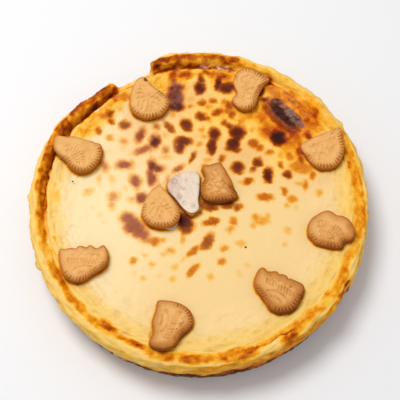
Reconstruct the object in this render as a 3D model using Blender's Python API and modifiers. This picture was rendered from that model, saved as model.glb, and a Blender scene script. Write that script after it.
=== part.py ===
"""A baked cheesecake on a thin crumb base, with stamped biscuits laid on its top.

The cake stands on the plane z = 0 with +Z up and its middle on the Z axis. The broken place in its rim
is at the back, towards +Y. Lengths in this file are in millimetres, and the objects are built in metres.
"""

import math
from collections import namedtuple

import bmesh
import bpy
from mathutils import Matrix, Vector, noise

MM = 0.001
SHARP_ANGLE = math.radians(50.0)

# Driving dimensions of the cake
BASE_RADIUS = 128.0
BASE_THICKNESS = 6.0
BASE_EDGE_ROUNDING = 1.2
BASE_ROUGHNESS = 0.9
BASE_GRAIN = 4.0
BASE_STEPS = 96
TOP_HEIGHT = 39.0
SLOPE_START = 84.0
SLOPE_RISE = 4.4
CREASED_LOSS = 0.45
FOOT_RADIUS = 126.4
TORN_FOOT_SPREAD = 4.0
SHOULDER_DROP = 8.0
TOUCHING_GAP = 0.3

# Baked unevenness: how far it moves the surface, and the size of its bumps
TOP_UNEVENNESS = 0.8
TOP_GRAIN = 9.0
WALL_UNEVENNESS = 1.7
TORN_UNEVENNESS = 3.0
WALL_GRAIN = 11.0
WALL_FLATTENING = 2.4

# The rim goes by stations round the cake: the angle in degrees from +X, the outer radius, the height of
# the crest, the radius of the crease between the top and the rim, and how deep that crease is.
RimStation = namedtuple("RimStation", "angle radius crest crease depth")
RIM = (
    RimStation(0, 129.5, 43.6, 118.5, 0.8),
    RimStation(20, 130.3, 44.4, 117.0, 1.2),
    RimStation(40, 129.2, 45.4, 116.0, 1.6),
    RimStation(60, 128.0, 46.0, 117.5, 2.2),
    RimStation(75, 127.6, 46.2, 117.5, 3.0),
    RimStation(90, 128.2, 46.6, 114.8, 3.6),
    RimStation(103, 129.0, 46.6, 116.0, 3.6),
    RimStation(107.5, 126.5, 45.8, 115.5, 3.0),
    RimStation(110, 117.8, 41.6, 110.8, 0.4),
    RimStation(117, 116.6, 41.0, 110.0, 0.2),
    RimStation(123, 117.6, 41.4, 110.8, 0.4),
    RimStation(125.5, 123.4, 45.6, 113.8, 3.4),
    RimStation(134, 123.2, 46.8, 112.6, 4.6),
    RimStation(141, 124.6, 47.2, 114.2, 4.8),
    RimStation(150, 128.6, 47.2, 117.2, 4.6),
    RimStation(165, 129.6, 46.8, 118.2, 4.0),
    RimStation(182, 129.4, 46.2, 118.0, 3.0),
    RimStation(200, 130.0, 45.2, 117.0, 1.6),
    RimStation(218, 130.6, 44.8, 116.0, 1.0),
    RimStation(240, 130.6, 44.8, 116.0, 0.9),
    RimStation(262, 130.4, 45.2, 117.0, 0.9),
    RimStation(288, 130.2, 45.2, 118.0, 0.9),
    RimStation(312, 130.0, 44.6, 118.6, 0.8),
    RimStation(338, 129.8, 44.0, 118.6, 0.7),
)
SECTIONS = 134
BREAK_EDGES = (108.75, 124.25)
EXTRA_SECTION_STEPS = (-1.6, -0.8, 0.0, 0.8, 1.6)
CLOSEST_SECTIONS = 0.5

# The section's shape. The slope and the wall go by shares of their length. The lip goes by a share of its
# width out from the crease, and a drop below the crest.
SLOPE_SHARES = (0.0, 0.28, 0.54, 0.78, 1.0)
SLOPE_END = 1.4
CREASE_SIDE = (0.14, 0.35)
LIP_SHAPE = ((0.34, 0.8), (0.55, 0.0), (0.80, 1.3), (0.96, 4.2))
WALL_SHARES = (0.0, 0.2, 0.4, 0.6, 0.8, 1.0)
WALL_BOW = 1.6
TOP_RINGS = len(SLOPE_SHARES) + 2 + len(LIP_SHAPE)

# Driving dimensions of a biscuit
BISCUIT_THICKNESS = 6.4
BISCUIT_POINTS = 80
CURVE_STEPS = 12
BISCUIT_FOOT_INSET = 0.7
WIDEST_AT = 0.32
EDGE_DROP = 1.3
PLATEAU_INSET = 2.0
FLUTE_DEPTH = 0.55
FLUTE_DROP = 0.6
COATING_THICKNESS = 1.5
COATING_FOOT_INSET = 0.3
COATING_TOP_INSET = 0.5
COATING_MARGIN = 0.2
HIDDEN_COATING_MARGIN = 1.2
TURNED_THICKNESS = 5.4

# How a biscuit's seat is tried: the leans in degrees, and the points below it as shares of its outline
STEEPEST_LEAN = 18.0
LEAN_STEP = 0.25
SEAT_SHARES = (1.0, 0.75, 0.5, 0.25)

# A biscuit is placed by its middle, and its outline goes round that middle anticlockwise. The flutes of
# its stamped edge run anticlockwise from the first to the second angle about the middle.
Biscuit = namedtuple("Biscuit", "name middle flutes outline")
BISCUITS = (
    Biscuit(
        "biscuit_back_left", (-40, 86), (-150, 40),
        ((-4.4, 17.3), (-8.6, 15.4), (-11.4, 11.6), (-13.4, 6.5), (-14.5, 0.5), (-14.7, -5.5),
         (-13.4, -10.8), (-10.4, -14.8), (-6.6, -16.6), (-2, -18), (2.5, -17.2), (6, -16.2),
         (9.8, -15), (13.4, -11.6), (15.8, -7.4), (16.4, -2.8), (14.2, 1.2), (10, 4.8),
         (5.4, 7.4), (1.6, 11), (-1.4, 15)),
    ),
    Biscuit(
        "biscuit_left_upper", (-94, 37), (-175, 25),
        ((-17, 13.2), (-19, 9.6), (-19.4, 5.4), (-17.6, 1), (-14.4, -2.6), (-10.4, -5), (-8, -8.2),
         (-5, -12.2), (-0.5, -14.8), (4.5, -15.2), (9, -13.6), (13, -10.6), (15.8, -6.6),
         (17.6, -2), (18.6, 3), (17.8, 7.8), (15.4, 9.4), (12.2, 9.2), (9.4, 11), (6, 11),
         (3, 12.2), (-0.6, 13), (-4.4, 13.6), (-8, 13), (-12, 12.8)),
    ),
    Biscuit(
        "biscuit_back_right", (42, 93), (-120, 150),
        ((-6, 17.9), (-10, 16), (-13, 12.6), (-14.4, 8), (-13.6, 3), (-12, -1), (-11.4, -4.2),
         (-14.4, -5.6), (-15.8, -8), (-14.6, -11.2), (-11.4, -14.8), (-7, -17.2), (-2, -17.2),
         (1.6, -15.2), (3.6, -11.8), (4.8, -7.4), (6.4, -2.6), (8.6, 1.2), (11, 4.8), (14.4, 7.2),
         (14.4, 9.4), (10.8, 10.8), (6.8, 13), (3, 15.8), (-1.4, 17.8)),
    ),
    Biscuit(
        "biscuit_right_upper", (98, 41), (-165, 60),
        ((-9, 9.2), (-13.4, 7), (-16.6, 5.4), (-18.8, 2.4), (-17.2, -1), (-15, -4.6), (-12.8, -8.8),
         (-9.6, -12.8), (-5.4, -15.6), (0, -16.7), (5, -16), (9, -13.8), (12, -10.4), (14, -5.8),
         (15, -0.5), (14.6, 5), (13.6, 10), (13.2, 14.4), (11.6, 17.4), (8.4, 16.2), (4, 14),
         (-1, 12.4), (-5, 11)),
    ),
    Biscuit(
        "biscuit_right", (99, -26), (190, 320),
        ((-2.4, 15.7), (-7.6, 13.8), (-12, 10.8), (-15.4, 7), (-17.2, 1.5), (-16.4, -3.4),
         (-13.8, -7.2), (-11, -10.4), (-7, -11.4), (-2, -12.8), (3, -14.2), (6.6, -14.8),
         (8.8, -13), (9.2, -10), (13, -9), (16.8, -7.4), (18.4, -3), (17.8, 1.6), (15.4, 6.4),
         (11.8, 9.8), (8.2, 11.4), (5.2, 11.4), (3.4, 13.8), (1, 15.4)),
    ),
    Biscuit(
        "biscuit_front_right", (60, -72), (-200, -10),
        ((-11.8, 18.6), (-15, 16.4), (-17.8, 11.8), (-19.2, 6.4), (-18.6, 1.6), (-15.6, -2.4),
         (-13, -6), (-11.2, -9.6), (-9, -13.4), (-5.4, -16.4), (-0.5, -17.9), (4.6, -17.4),
         (9.2, -15), (12.6, -11.4), (15, -6.8), (17, -2), (17.6, 1.8), (15.4, 4.4), (11.4, 6.4),
         (7.4, 8.2), (5.6, 10.2), (3.4, 11.4), (0.8, 12), (-1.2, 14), (-4, 14.7), (-6.4, 13.8),
         (-8.6, 14), (-9.8, 16.8)),
    ),
    Biscuit(
        "biscuit_front", (-20, -100), (-85, 80),
        ((-10.6, 19.6), (-11.2, 15), (-12.4, 10), (-13.8, 5.4), (-13.9, 0.6), (-13, -3.6),
         (-13.8, -7.4), (-15.8, -10.6), (-15.8, -13.8), (-13, -16.6), (-8.6, -17.9), (-4, -17.8),
         (0, -16.4), (3, -13.6), (5.2, -10.2), (7.4, -7), (11, -4.2), (14, -1), (15.7, 3),
         (15.6, 7.6), (13.8, 11.8), (10.8, 15), (7, 17.4), (2, 19), (-4, 19.8)),
    ),
    Biscuit(
        "biscuit_left_lower", (-87, -51), (-155, 5),
        ((-15.8, 10), (-17.4, 8.6), (-17.2, 3), (-16.4, -2), (-14.8, -7.4), (-12.2, -12), (-8.6, -15),
         (-4, -16.2), (0.4, -15.6), (4, -13.2), (7, -10.4), (11, -7.6), (15, -4.8), (18, -1.6),
         (19.3, 3.6), (18.6, 9), (16.8, 13), (14.6, 14), (12.8, 12.4), (11, 10.6), (8.4, 11.4),
         (6.2, 13.4), (3.6, 13.4), (1.4, 11.8), (-0.8, 12.4), (-3.2, 12.2), (-5.6, 10.8),
         (-10, 10.4)),
    ),
    Biscuit(
        "biscuit_centre_left", (-28.4, -7.6), (-190, -5),
        ((-2.4, 18), (-6.4, 15.8), (-9.4, 12), (-12.2, 6.6), (-14.4, 0.6), (-15, -4.6), (-13.2, -9.4),
         (-9.6, -13), (-5, -14.8), (0.5, -15.6), (6, -15.2), (10.4, -13), (13.4, -9.4), (14.5, -5),
         (13.4, -0.2), (10.8, 4.2), (7.6, 8.4), (4.2, 12.4), (1, 16.4)),
    ),
    Biscuit(
        "biscuit_centre_right", (15, 12), (-190, -15),
        ((-5, 16.6), (-9, 16.2), (-12, 16.4), (-12.8, 13.6), (-12, 10.4), (-10.6, 8), (-10.2, 5.6),
         (-11.6, 3), (-13.2, 0), (-13.7, -4.5), (-13.2, -9), (-10.8, -12.6), (-6, -13.9), (0, -14.2),
         (5, -13.6), (9.6, -12.4), (13.6, -10.8), (15.2, -8.2), (12.8, -5), (11.2, -1.4), (10.2, 3),
         (8, 7.4), (5.8, 11.6), (3.6, 15.8), (1, 18.6), (-2, 18)),
    ),
)
TURNED = Biscuit(
    "biscuit_turned_over", (-11.4, 5), (-180, 180),
    ((-1, 17.4), (-5.4, 15.4), (-9.6, 12.4), (-12.8, 9), (-14, 5.4), (-12.8, 2.4), (-10.2, -0.6),
     (-7, -4.4), (-4.4, -8.2), (-1.6, -12), (2, -15.8), (5.8, -18.6), (9, -16.4), (13, -14), (13.2, -12),
     (10.8, -9.8), (10.2, -7), (11.4, -3), (12, 2), (12, 8), (12.4, 13), (11.8, 17), (6, 17.6)),
)
COATED_FROM_BELOW = "biscuit_centre_left"
PEEK_DIRECTION = -57.0
PEEK_WIDTH = 12.0
PEEK_REACH = 4.2
LEVEL_ON_TOP = ("biscuit_centre_left", "biscuit_centre_right", "biscuit_turned_over")

# Colours of the parts: base colour and roughness
CUSTARD = ((0.86, 0.62, 0.27), 0.42)
CRUMB = ((0.20, 0.085, 0.028), 0.85)
SHORTBREAD = ((0.60, 0.33, 0.13), 0.72)
WHITE_ICING = ((0.78, 0.66, 0.58), 0.45)


def clear_scene():
    """Remove every object of the startup scene."""
    for obj in list(bpy.data.objects):
        bpy.data.objects.remove(obj, do_unlink=True)


def finish_of(name, finish):
    """A material of one base colour and roughness."""
    colour, roughness = finish
    material = bpy.data.materials.new(name)
    material.use_nodes = True
    shader = material.node_tree.nodes["Principled BSDF"]
    shader.inputs["Base Color"].default_value = (*colour, 1.0)
    shader.inputs["Roughness"].default_value = roughness
    shader.inputs["Metallic"].default_value = 0.0
    return material


def smooth_shaded(built, name):
    """The finished mesh of a built shape, shaded smooth but for its sharp edges."""
    mesh = bpy.data.meshes.new(name)
    built.to_mesh(mesh)
    built.free()
    mesh.shade_smooth()
    mesh.set_sharp_from_angle(angle=SHARP_ANGLE)
    return mesh


def placed(name, mesh, material, collection, parent, matrix=None):
    """An object for a mesh, in the collection and under the parent, at the matrix."""
    obj = bpy.data.objects.new(name, mesh)
    mesh.materials.append(material)
    collection.objects.link(obj)
    obj.parent = parent
    if matrix is not None:
        obj.location = matrix.to_translation()
        obj.rotation_euler = matrix.to_euler()
    return obj


def ease(t):
    """A smooth step from 0 to 1."""
    return t * t * (3.0 - 2.0 * t)


def rim_at(angle):
    """Radius, crest, crease and depth of the rim at an angle in degrees, eased between its stations."""
    angle %= 360.0
    following = next((k for k, station in enumerate(RIM) if station.angle > angle), 0)
    before, after = RIM[following - 1], RIM[following]
    span = (after.angle - before.angle) % 360.0
    share = ease(((angle - before.angle) % 360.0) / span)
    return [a + (b - a) * share for a, b in zip(before[1:], after[1:])]


def section(angle):
    """The filling's section at an angle: (radius, height) from the flat top, over the rim and down to the foot."""
    radius, crest, crease, depth = rim_at(angle)
    lip = radius - crease
    rise = SLOPE_RISE - CREASED_LOSS * depth
    foot = min(radius + TORN_FOOT_SPREAD, FOOT_RADIUS)
    floor = BASE_THICKNESS + TOUCHING_GAP
    shoulder = crest - SHOULDER_DROP
    slope = [(SLOPE_START + share * (crease - SLOPE_END - SLOPE_START), TOP_HEIGHT + ease(share) * rise)
             for share in SLOPE_SHARES]
    across, sunk = CREASE_SIDE
    fold = [(crease, TOP_HEIGHT + rise - depth), (crease + across * lip, TOP_HEIGHT + rise - sunk * depth)]
    edge = [(crease + share * lip, crest - drop) for share, drop in LIP_SHAPE]
    wall = [(radius + share ** WALL_BOW * (foot - radius), shoulder + share * (floor - shoulder))
            for share in WALL_SHARES]
    return slope + fold + edge + wall


def unevenness(place, amount, grain):
    """Smooth baked unevenness at a place, in millimetres."""
    return amount * noise.noise(Vector(place) / grain)


def baked(radius, height, angle, ring):
    """A point of the filling's surface with its baked unevenness, in millimetres."""
    turn = math.radians(angle)
    x, y = radius * math.cos(turn), radius * math.sin(turn)
    if ring == 0:
        return Vector((x, y, height))
    if ring < TOP_RINGS:
        return Vector((x, y, height + unevenness((x, y, 0.0), TOP_UNEVENNESS, TOP_GRAIN)))
    torn = BREAK_EDGES[0] < angle < BREAK_EDGES[1]
    amount = TORN_UNEVENNESS if torn else WALL_UNEVENNESS
    swell = unevenness((x, y, WALL_FLATTENING * height), amount, WALL_GRAIN)
    if height < BASE_THICKNESS + 1.0:
        swell = 0.0
    return Vector(((radius + swell) * math.cos(turn), (radius + swell) * math.sin(turn), height))


def section_angles():
    """Angles of the filling's sections: evenly round, and closer at the two ends of the broken rim."""
    even = [360.0 * k / SECTIONS for k in range(SECTIONS)]
    close = [edge + step for edge in BREAK_EDGES for step in EXTRA_SECTION_STEPS]
    spaced = [a for a in even if all(abs(a - c) > CLOSEST_SECTIONS for c in close)]
    return sorted(spaced + close)


def filling_mesh():
    """The filling as a loft between its unlike sections, with a flat top disc and a flat underside."""
    mesh = bmesh.new()
    columns = []
    for angle in section_angles():
        points = [baked(r, h, angle, ring) for ring, (r, h) in enumerate(section(angle))]
        columns.append([mesh.verts.new(point * MM) for point in points])
    for left, right in zip(columns, columns[1:] + columns[:1]):
        for k in range(len(left) - 1):
            mesh.faces.new((left[k], left[k + 1], right[k + 1], right[k]))
    mesh.faces.new([column[0] for column in columns])
    mesh.faces.new([column[-1] for column in reversed(columns)])
    bmesh.ops.recalc_face_normals(mesh, faces=mesh.faces)
    return smooth_shaded(mesh, "filling")


def surface_height(x, y):
    """Height of the filling's top under a point, in millimetres."""
    radius, angle = math.hypot(x, y), math.degrees(math.atan2(y, x))
    points = section(angle)[:TOP_RINGS]
    if radius <= points[0][0]:
        return TOP_HEIGHT
    for (r0, h0), (r1, h1) in zip(points, points[1:]):
        if radius <= r1:
            height = h0 + (h1 - h0) * (radius - r0) / (r1 - r0)
            return height + unevenness((x, y, 0.0), TOP_UNEVENNESS, TOP_GRAIN)
    return points[-1][1]


def crumb_base(material, collection, parent):
    """The crumb base: a turned disc with a rounded, crumbly edge."""
    edge, top = BASE_EDGE_ROUNDING, BASE_THICKNESS
    profile = [
        (0.0, top), (BASE_RADIUS - edge, top), (BASE_RADIUS, top - edge),
        (BASE_RADIUS, edge), (BASE_RADIUS - edge, 0.0), (0.0, 0.0),
    ]
    mesh = bpy.data.meshes.new("base_profile")
    mesh.from_pydata([(r * MM, 0.0, h * MM) for r, h in profile],
                     [(k, k + 1) for k in range(len(profile) - 1)], [])
    turned = bpy.data.objects.new("base_profile", mesh)
    collection.objects.link(turned)
    screw = turned.modifiers.new("turn", "SCREW")
    screw.steps = screw.render_steps = BASE_STEPS
    screw.use_merge_vertices = True
    screw.merge_threshold = 0.05 * MM
    bpy.context.view_layer.update()
    solid = bpy.data.meshes.new_from_object(turned.evaluated_get(bpy.context.evaluated_depsgraph_get()))
    bpy.data.objects.remove(turned, do_unlink=True)
    for vertex in solid.vertices:
        x, y, z = vertex.co / MM
        if math.hypot(x, y) > BASE_RADIUS - 2.0 * edge:
            crumbly = 1.0 + BASE_ROUGHNESS * noise.noise(Vector((x, y, z)) / BASE_GRAIN) / BASE_RADIUS
            vertex.co.x *= crumbly
            vertex.co.y *= crumbly
    solid.shade_smooth()
    solid.set_sharp_from_angle(angle=SHARP_ANGLE)
    return placed("crumb_base", solid, material, collection, parent)


def smooth_outline(points, count):
    """Evenly spaced points along a smooth closed curve through the given ones."""
    corners = [Vector(p) for p in points]
    fine, pieces = [], CURVE_STEPS
    for k in range(len(corners)):
        p0, p1, p2, p3 = (corners[(k + d) % len(corners)] for d in (-1, 0, 1, 2))
        for step in range(pieces):
            t = step / pieces
            fine.append(0.5 * (2 * p1 + (p2 - p0) * t + (2 * p0 - 5 * p1 + 4 * p2 - p3) * t * t
                               + (3 * p1 - p0 - 3 * p2 + p3) * t ** 3))
    lengths = [(b - a).length for a, b in zip(fine, fine[1:] + fine[:1])]
    pitch = sum(lengths) / count
    spaced, travelled, target = [], 0.0, 0.0
    for k, length in enumerate(lengths):
        while len(spaced) < count and travelled + length > target:
            spaced.append(fine[k].lerp(fine[(k + 1) % len(fine)], (target - travelled) / length))
            target += pitch
        travelled += length
    return spaced


def inset(ring, distance):
    """A closed ring of points moved inwards and evened out, so that its narrow ends don't cross."""
    moved = []
    for k, point in enumerate(ring):
        along = ring[(k + 2) % len(ring)] - ring[k - 2]
        moved.append(point + Vector((-along.y, along.x)).normalized() * distance)
    for _ in range(2):
        moved = [(moved[k - 1] + 2 * moved[k] + moved[(k + 1) % len(moved)]) / 4 for k in range(len(moved))]
    return moved


def is_fluted(point, flutes):
    """Whether a point of the outline lies in the fluted stretch."""
    angle = math.degrees(math.atan2(point.y, point.x))
    return (angle - flutes[0]) % 360.0 <= (flutes[1] - flutes[0])


def extruded(rings, name):
    """A closed solid through rings of points with heights, from the lowest ring to the highest."""
    mesh = bmesh.new()
    lowest = [mesh.verts.new(p * MM) for p in rings[0]]
    mesh.faces.new(lowest[::-1])
    below = lowest
    for ring in rings[1:]:
        above = [mesh.verts.new(p * MM) for p in ring]
        for k in range(len(ring)):
            mesh.faces.new((below[k - 1], below[k], above[k], above[k - 1]))
        below = above
    mesh.faces.new(below)
    return smooth_shaded(mesh, name)


def at_height(ring, height):
    """The ring's points, all at one height or each at its own."""
    heights = height if isinstance(height, list) else [height] * len(ring)
    return [Vector((p.x, p.y, h)) for p, h in zip(ring, heights)]


def biscuit_mesh(biscuit, thickness, turned=False):
    """A stamped biscuit: an inset foot, a fluted edge and a plateau, or the same upside down."""
    outline = smooth_outline(biscuit.outline, BISCUIT_POINTS)
    groove = [k % 2 == 1 and is_fluted(p, biscuit.flutes) for k, p in enumerate(outline)]
    pulled = inset(outline, FLUTE_DEPTH)
    edge = [pulled[k] if groove[k] else p for k, p in enumerate(outline)]
    shoulder = thickness - EDGE_DROP
    shoulders = [shoulder - FLUTE_DROP if cut else shoulder for cut in groove]
    rings = [
        at_height(inset(outline, BISCUIT_FOOT_INSET), 0.0),
        at_height(edge, WIDEST_AT * thickness),
        at_height(edge, shoulders),
        at_height(inset(outline, PLATEAU_INSET), thickness),
    ]
    if turned:
        rings = [[Vector((p.x, p.y, thickness - p.z)) for p in ring] for ring in reversed(rings)]
    return extruded(rings, biscuit.name)


def coating_outline(biscuit, distance, peek=0.0):
    """The edge of a coating: the biscuit's outline pulled in, with one drip that peeks out."""
    ring = []
    for point in inset(smooth_outline(biscuit.outline, BISCUIT_POINTS // 2), distance):
        off = math.degrees(math.atan2(point.y, point.x)) - PEEK_DIRECTION
        ring.append(point * (1.0 + peek / point.length * math.exp(-((off / PEEK_WIDTH) ** 2))))
    return ring


def coating_mesh(ring, name):
    """A thin poured coating with a rounded edge."""
    rings = [
        at_height(inset(ring, COATING_FOOT_INSET), 0.0),
        at_height(ring, WIDEST_AT * COATING_THICKNESS),
        at_height(inset(ring, COATING_TOP_INSET), COATING_THICKNESS),
    ]
    return extruded(rings, name)


def seat(biscuit, outline):
    """Where a biscuit comes to rest: it leans outwards by the angle that leaves the least air below it."""
    middle = Vector(biscuit.middle)
    outward = middle.normalized()
    samples = [middle + p * share for p in outline for share in SEAT_SHARES]
    heights = [surface_height(p.x, p.y) for p in samples]
    runs = [(p - middle).dot(outward) for p in samples]
    steepest = 0.0 if biscuit.name in LEVEL_ON_TOP else STEEPEST_LEAN
    best = None
    for step in range(int(steepest / LEAN_STEP) + 1):
        lean = math.radians(step * LEAN_STEP)
        rises = [run * math.tan(lean) for run in runs]
        lift = max(height - rise for height, rise in zip(heights, rises))
        air = sum(lift + rise - height for height, rise in zip(heights, rises))
        if best is None or air < best[0]:
            best = (air, lean, lift)
    _, lean, lift = best
    axis = Vector((outward.y, -outward.x, 0.0))
    place = Vector((middle.x, middle.y, lift + TOUCHING_GAP)) * MM
    return Matrix.Translation(place) @ Matrix.Rotation(lean, 4, axis)


def lifted(matrix, height):
    """The place a given height above another, in millimetres."""
    return matrix @ Matrix.Translation((0.0, 0.0, height * MM))


def build_biscuits(shortbread, icing, collection, parent):
    """Every biscuit at rest on the cake, and the two coatings that show."""
    for biscuit in BISCUITS:
        outline = smooth_outline(biscuit.outline, BISCUIT_POINTS)
        place = seat(biscuit, outline)
        if biscuit.name == COATED_FROM_BELOW:
            ring = coating_outline(biscuit, HIDDEN_COATING_MARGIN, PEEK_REACH)
            placed("coating_centre_left", coating_mesh(ring, "coating_centre_left"), icing,
                   collection, parent, place)
            place = lifted(place, COATING_THICKNESS + TOUCHING_GAP)
        placed(biscuit.name, biscuit_mesh(biscuit, BISCUIT_THICKNESS), shortbread,
               collection, parent, place)
    place = seat(TURNED, smooth_outline(TURNED.outline, BISCUIT_POINTS))
    placed(TURNED.name, biscuit_mesh(TURNED, TURNED_THICKNESS, turned=True), shortbread,
           collection, parent, place)
    placed("coating_turned_over", coating_mesh(coating_outline(TURNED, COATING_MARGIN), "coating_turned_over"),
           icing, collection, parent, lifted(place, TURNED_THICKNESS + TOUCHING_GAP))


def main():
    """Build the cheesecake."""
    clear_scene()
    collection = bpy.data.collections.new("cheesecake")
    bpy.context.scene.collection.children.link(collection)
    cake = bpy.data.objects.new("cheesecake", None)
    collection.objects.link(cake)
    crumb_base(finish_of("crumb", CRUMB), collection, cake)
    placed("filling", filling_mesh(), finish_of("custard", CUSTARD), collection, cake)
    build_biscuits(finish_of("shortbread", SHORTBREAD), finish_of("white_icing", WHITE_ICING),
                   collection, cake)


main()
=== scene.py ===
"""The looks of a baked cheesecake with stamped biscuits on its top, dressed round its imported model.

The cake stands on z = 0 with its middle on the Z axis and the broken place of its rim towards +Y. Sizes in
this file are in millimetres, and meshes are made in metres.
"""

import logging
import math
from collections import defaultdict
from dataclasses import dataclass, field
from enum import Enum
from itertools import product
from typing import Sequence

import bpy
import numpy as np
from mathutils import Matrix, Vector, noise


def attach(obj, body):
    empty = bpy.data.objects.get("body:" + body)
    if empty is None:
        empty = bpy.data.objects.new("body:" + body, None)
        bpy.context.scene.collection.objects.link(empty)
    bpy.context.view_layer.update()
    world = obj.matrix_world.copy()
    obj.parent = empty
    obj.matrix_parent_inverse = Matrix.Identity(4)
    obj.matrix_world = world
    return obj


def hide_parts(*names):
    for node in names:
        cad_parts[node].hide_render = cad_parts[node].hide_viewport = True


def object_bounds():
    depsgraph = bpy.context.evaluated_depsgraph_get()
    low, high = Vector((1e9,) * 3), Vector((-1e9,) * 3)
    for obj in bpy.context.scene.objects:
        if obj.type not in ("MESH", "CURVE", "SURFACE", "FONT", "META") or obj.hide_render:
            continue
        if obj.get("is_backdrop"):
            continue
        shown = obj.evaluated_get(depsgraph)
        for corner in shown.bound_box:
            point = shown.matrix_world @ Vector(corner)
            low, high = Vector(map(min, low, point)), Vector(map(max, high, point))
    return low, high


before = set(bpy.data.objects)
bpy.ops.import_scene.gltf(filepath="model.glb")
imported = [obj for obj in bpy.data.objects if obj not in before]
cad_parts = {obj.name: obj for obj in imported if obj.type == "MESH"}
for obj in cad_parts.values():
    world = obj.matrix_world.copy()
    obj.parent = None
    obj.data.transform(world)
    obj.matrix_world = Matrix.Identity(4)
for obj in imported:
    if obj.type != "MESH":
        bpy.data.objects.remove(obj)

LOG = logging.getLogger("cheesecake")
MM = 0.001
BODY = "root"
Colour = tuple[float, float, float]


# Numbers over arrays of points

def ease(share: np.ndarray) -> np.ndarray:
    """A smooth step from 0 to 1 of a share, clipped to that range."""
    share = np.clip(share, 0.0, 1.0)
    return share * share * (3.0 - 2.0 * share)


def rise(value: np.ndarray, start: float, end: float) -> np.ndarray:
    """How far a value has risen from start to end, smoothly, as 0 to 1; start may be above end."""
    return ease((value - start) / (end - start))


def plateau(value: np.ndarray, up: tuple[float, float], down: tuple[float, float]) -> np.ndarray:
    """1 between two smooth slopes of a value, which rises over one stretch and falls over the other."""
    return rise(value, *up) * rise(value, *down)


def grain(points: np.ndarray, size: float, seed: int) -> np.ndarray:
    """Smooth lattice noise.

    Args:
        points: Places in millimetres, with x, y and z on the last axis.
        size: The lattice's pitch in millimetres.
        seed: Which of the endless patterns to take.

    Returns:
        A value between -1 and 1 for each point.
    """
    place = points / size + 37.7 * seed
    cell = np.floor(place).astype(np.int64)
    share = ease(place - cell)
    total = np.zeros(points.shape[:-1])
    for corner in product((0, 1), repeat=3):
        x, y, z = np.moveaxis(cell + np.array(corner), -1, 0)
        mixed = (x * 374761393 + y * 668265263 + z * 1442695041 + seed * 974634777) & 0xFFFFFFFF
        mixed = ((mixed ^ (mixed >> 13)) * 1274126177) & 0xFFFFFFFF
        value = (mixed ^ (mixed >> 16)) / 2147483648.0 - 1.0
        total += value * np.prod(np.where(corner, share, 1.0 - share), axis=-1)
    return total


def layered(points: np.ndarray, size: float, seed: int, layers: int = 3) -> np.ndarray:
    """Lattice noise in layers, each half as large and half as strong, still about -1 to 1."""
    total = sum(grain(points, size / 2 ** k, seed + k) / 2 ** k for k in range(layers))
    return total / 1.6


def unevenness(points: np.ndarray, amount: float, size: float) -> np.ndarray:
    """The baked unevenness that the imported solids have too, in millimetres.

    Args:
        points: Places in millimetres, with x, y and z on the last axis.
        amount: How far the surface moves at most.
        size: How large its bumps are.

    Returns:
        How far the surface moves at each point.
    """
    flat = points.reshape(-1, 3) / size
    values = [noise.noise(Vector(place)) for place in flat.tolist()]
    return amount * np.array(values).reshape(points.shape[:-1])


@dataclass(frozen=True)
class Bumps:
    """One kind of fine unevenness, made of layered noise.

    Attributes:
        size: The size of its largest bumps, in millimetres.
        seed: Which of the endless patterns it takes.
        height: How high it is, or how strong where it isn't relief.
        layers: How many layers it has, each finer than the last.
        stretch: How much closer together its bumps are along each axis.
    """

    size: float
    seed: int
    height: float = 1.0
    layers: int = 3
    stretch: tuple[float, float, float] = (1.0, 1.0, 1.0)

    def at(self, points: np.ndarray) -> np.ndarray:
        """Its height at each point, between its own height below and above zero."""
        return layered(points * self.stretch, self.size, self.seed, self.layers) * self.height

    def above(self, points: np.ndarray, start: float, end: float) -> np.ndarray:
        """Its height only where its noise has risen from start to end."""
        noisy = layered(points * self.stretch, self.size, self.seed, self.layers)
        return rise(noisy, start, end) * self.height


# Flat places and smooth shapes

def lifted(flat: np.ndarray, height: "np.ndarray | float" = 0.0) -> np.ndarray:
    """Points with only x and y, put at one height or at a height each."""
    return np.concatenate([flat, np.broadcast_to(height, flat.shape[:-1])[..., None]], axis=-1)


def turned_by(x: np.ndarray, y: np.ndarray, degrees: float) -> tuple[np.ndarray, np.ndarray]:
    """How far places lie along a direction in degrees, and how far across it."""
    turn = math.radians(degrees)
    return x * math.cos(turn) + y * math.sin(turn), y * math.cos(turn) - x * math.sin(turn)


def bell(value: np.ndarray) -> np.ndarray:
    """A smooth bump of height 1 round a value of 0."""
    return np.exp(-value ** 2)


# Shader expressions

class Term:
    """A shader socket's value in a Python expression, whose operators add Math nodes."""

    def __init__(self, recipe: "Recipe", socket: bpy.types.NodeSocket) -> None:
        """Keeps the recipe that the nodes go to, and the socket."""
        self.recipe = recipe
        self.socket = socket

    def _math(self, operation: str, first: "Term | float", second: "Term | float") -> "Term":
        """The result of a Math node on two values."""
        return self.recipe.node("ShaderNodeMath", {"operation": operation}, {0: first, 1: second})

    def __add__(self, other: "Term | float") -> "Term":
        """This value plus another."""
        return self._math("ADD", self, other)

    def __sub__(self, other: "Term | float") -> "Term":
        """This value less another."""
        return self._math("SUBTRACT", self, other)

    def __rsub__(self, other: float) -> "Term":
        """A number less this value."""
        return self._math("SUBTRACT", other, self)

    def __mul__(self, other: "Term | float") -> "Term":
        """This value times another."""
        return self._math("MULTIPLY", self, other)

    __radd__ = __add__
    __rmul__ = __mul__


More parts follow.
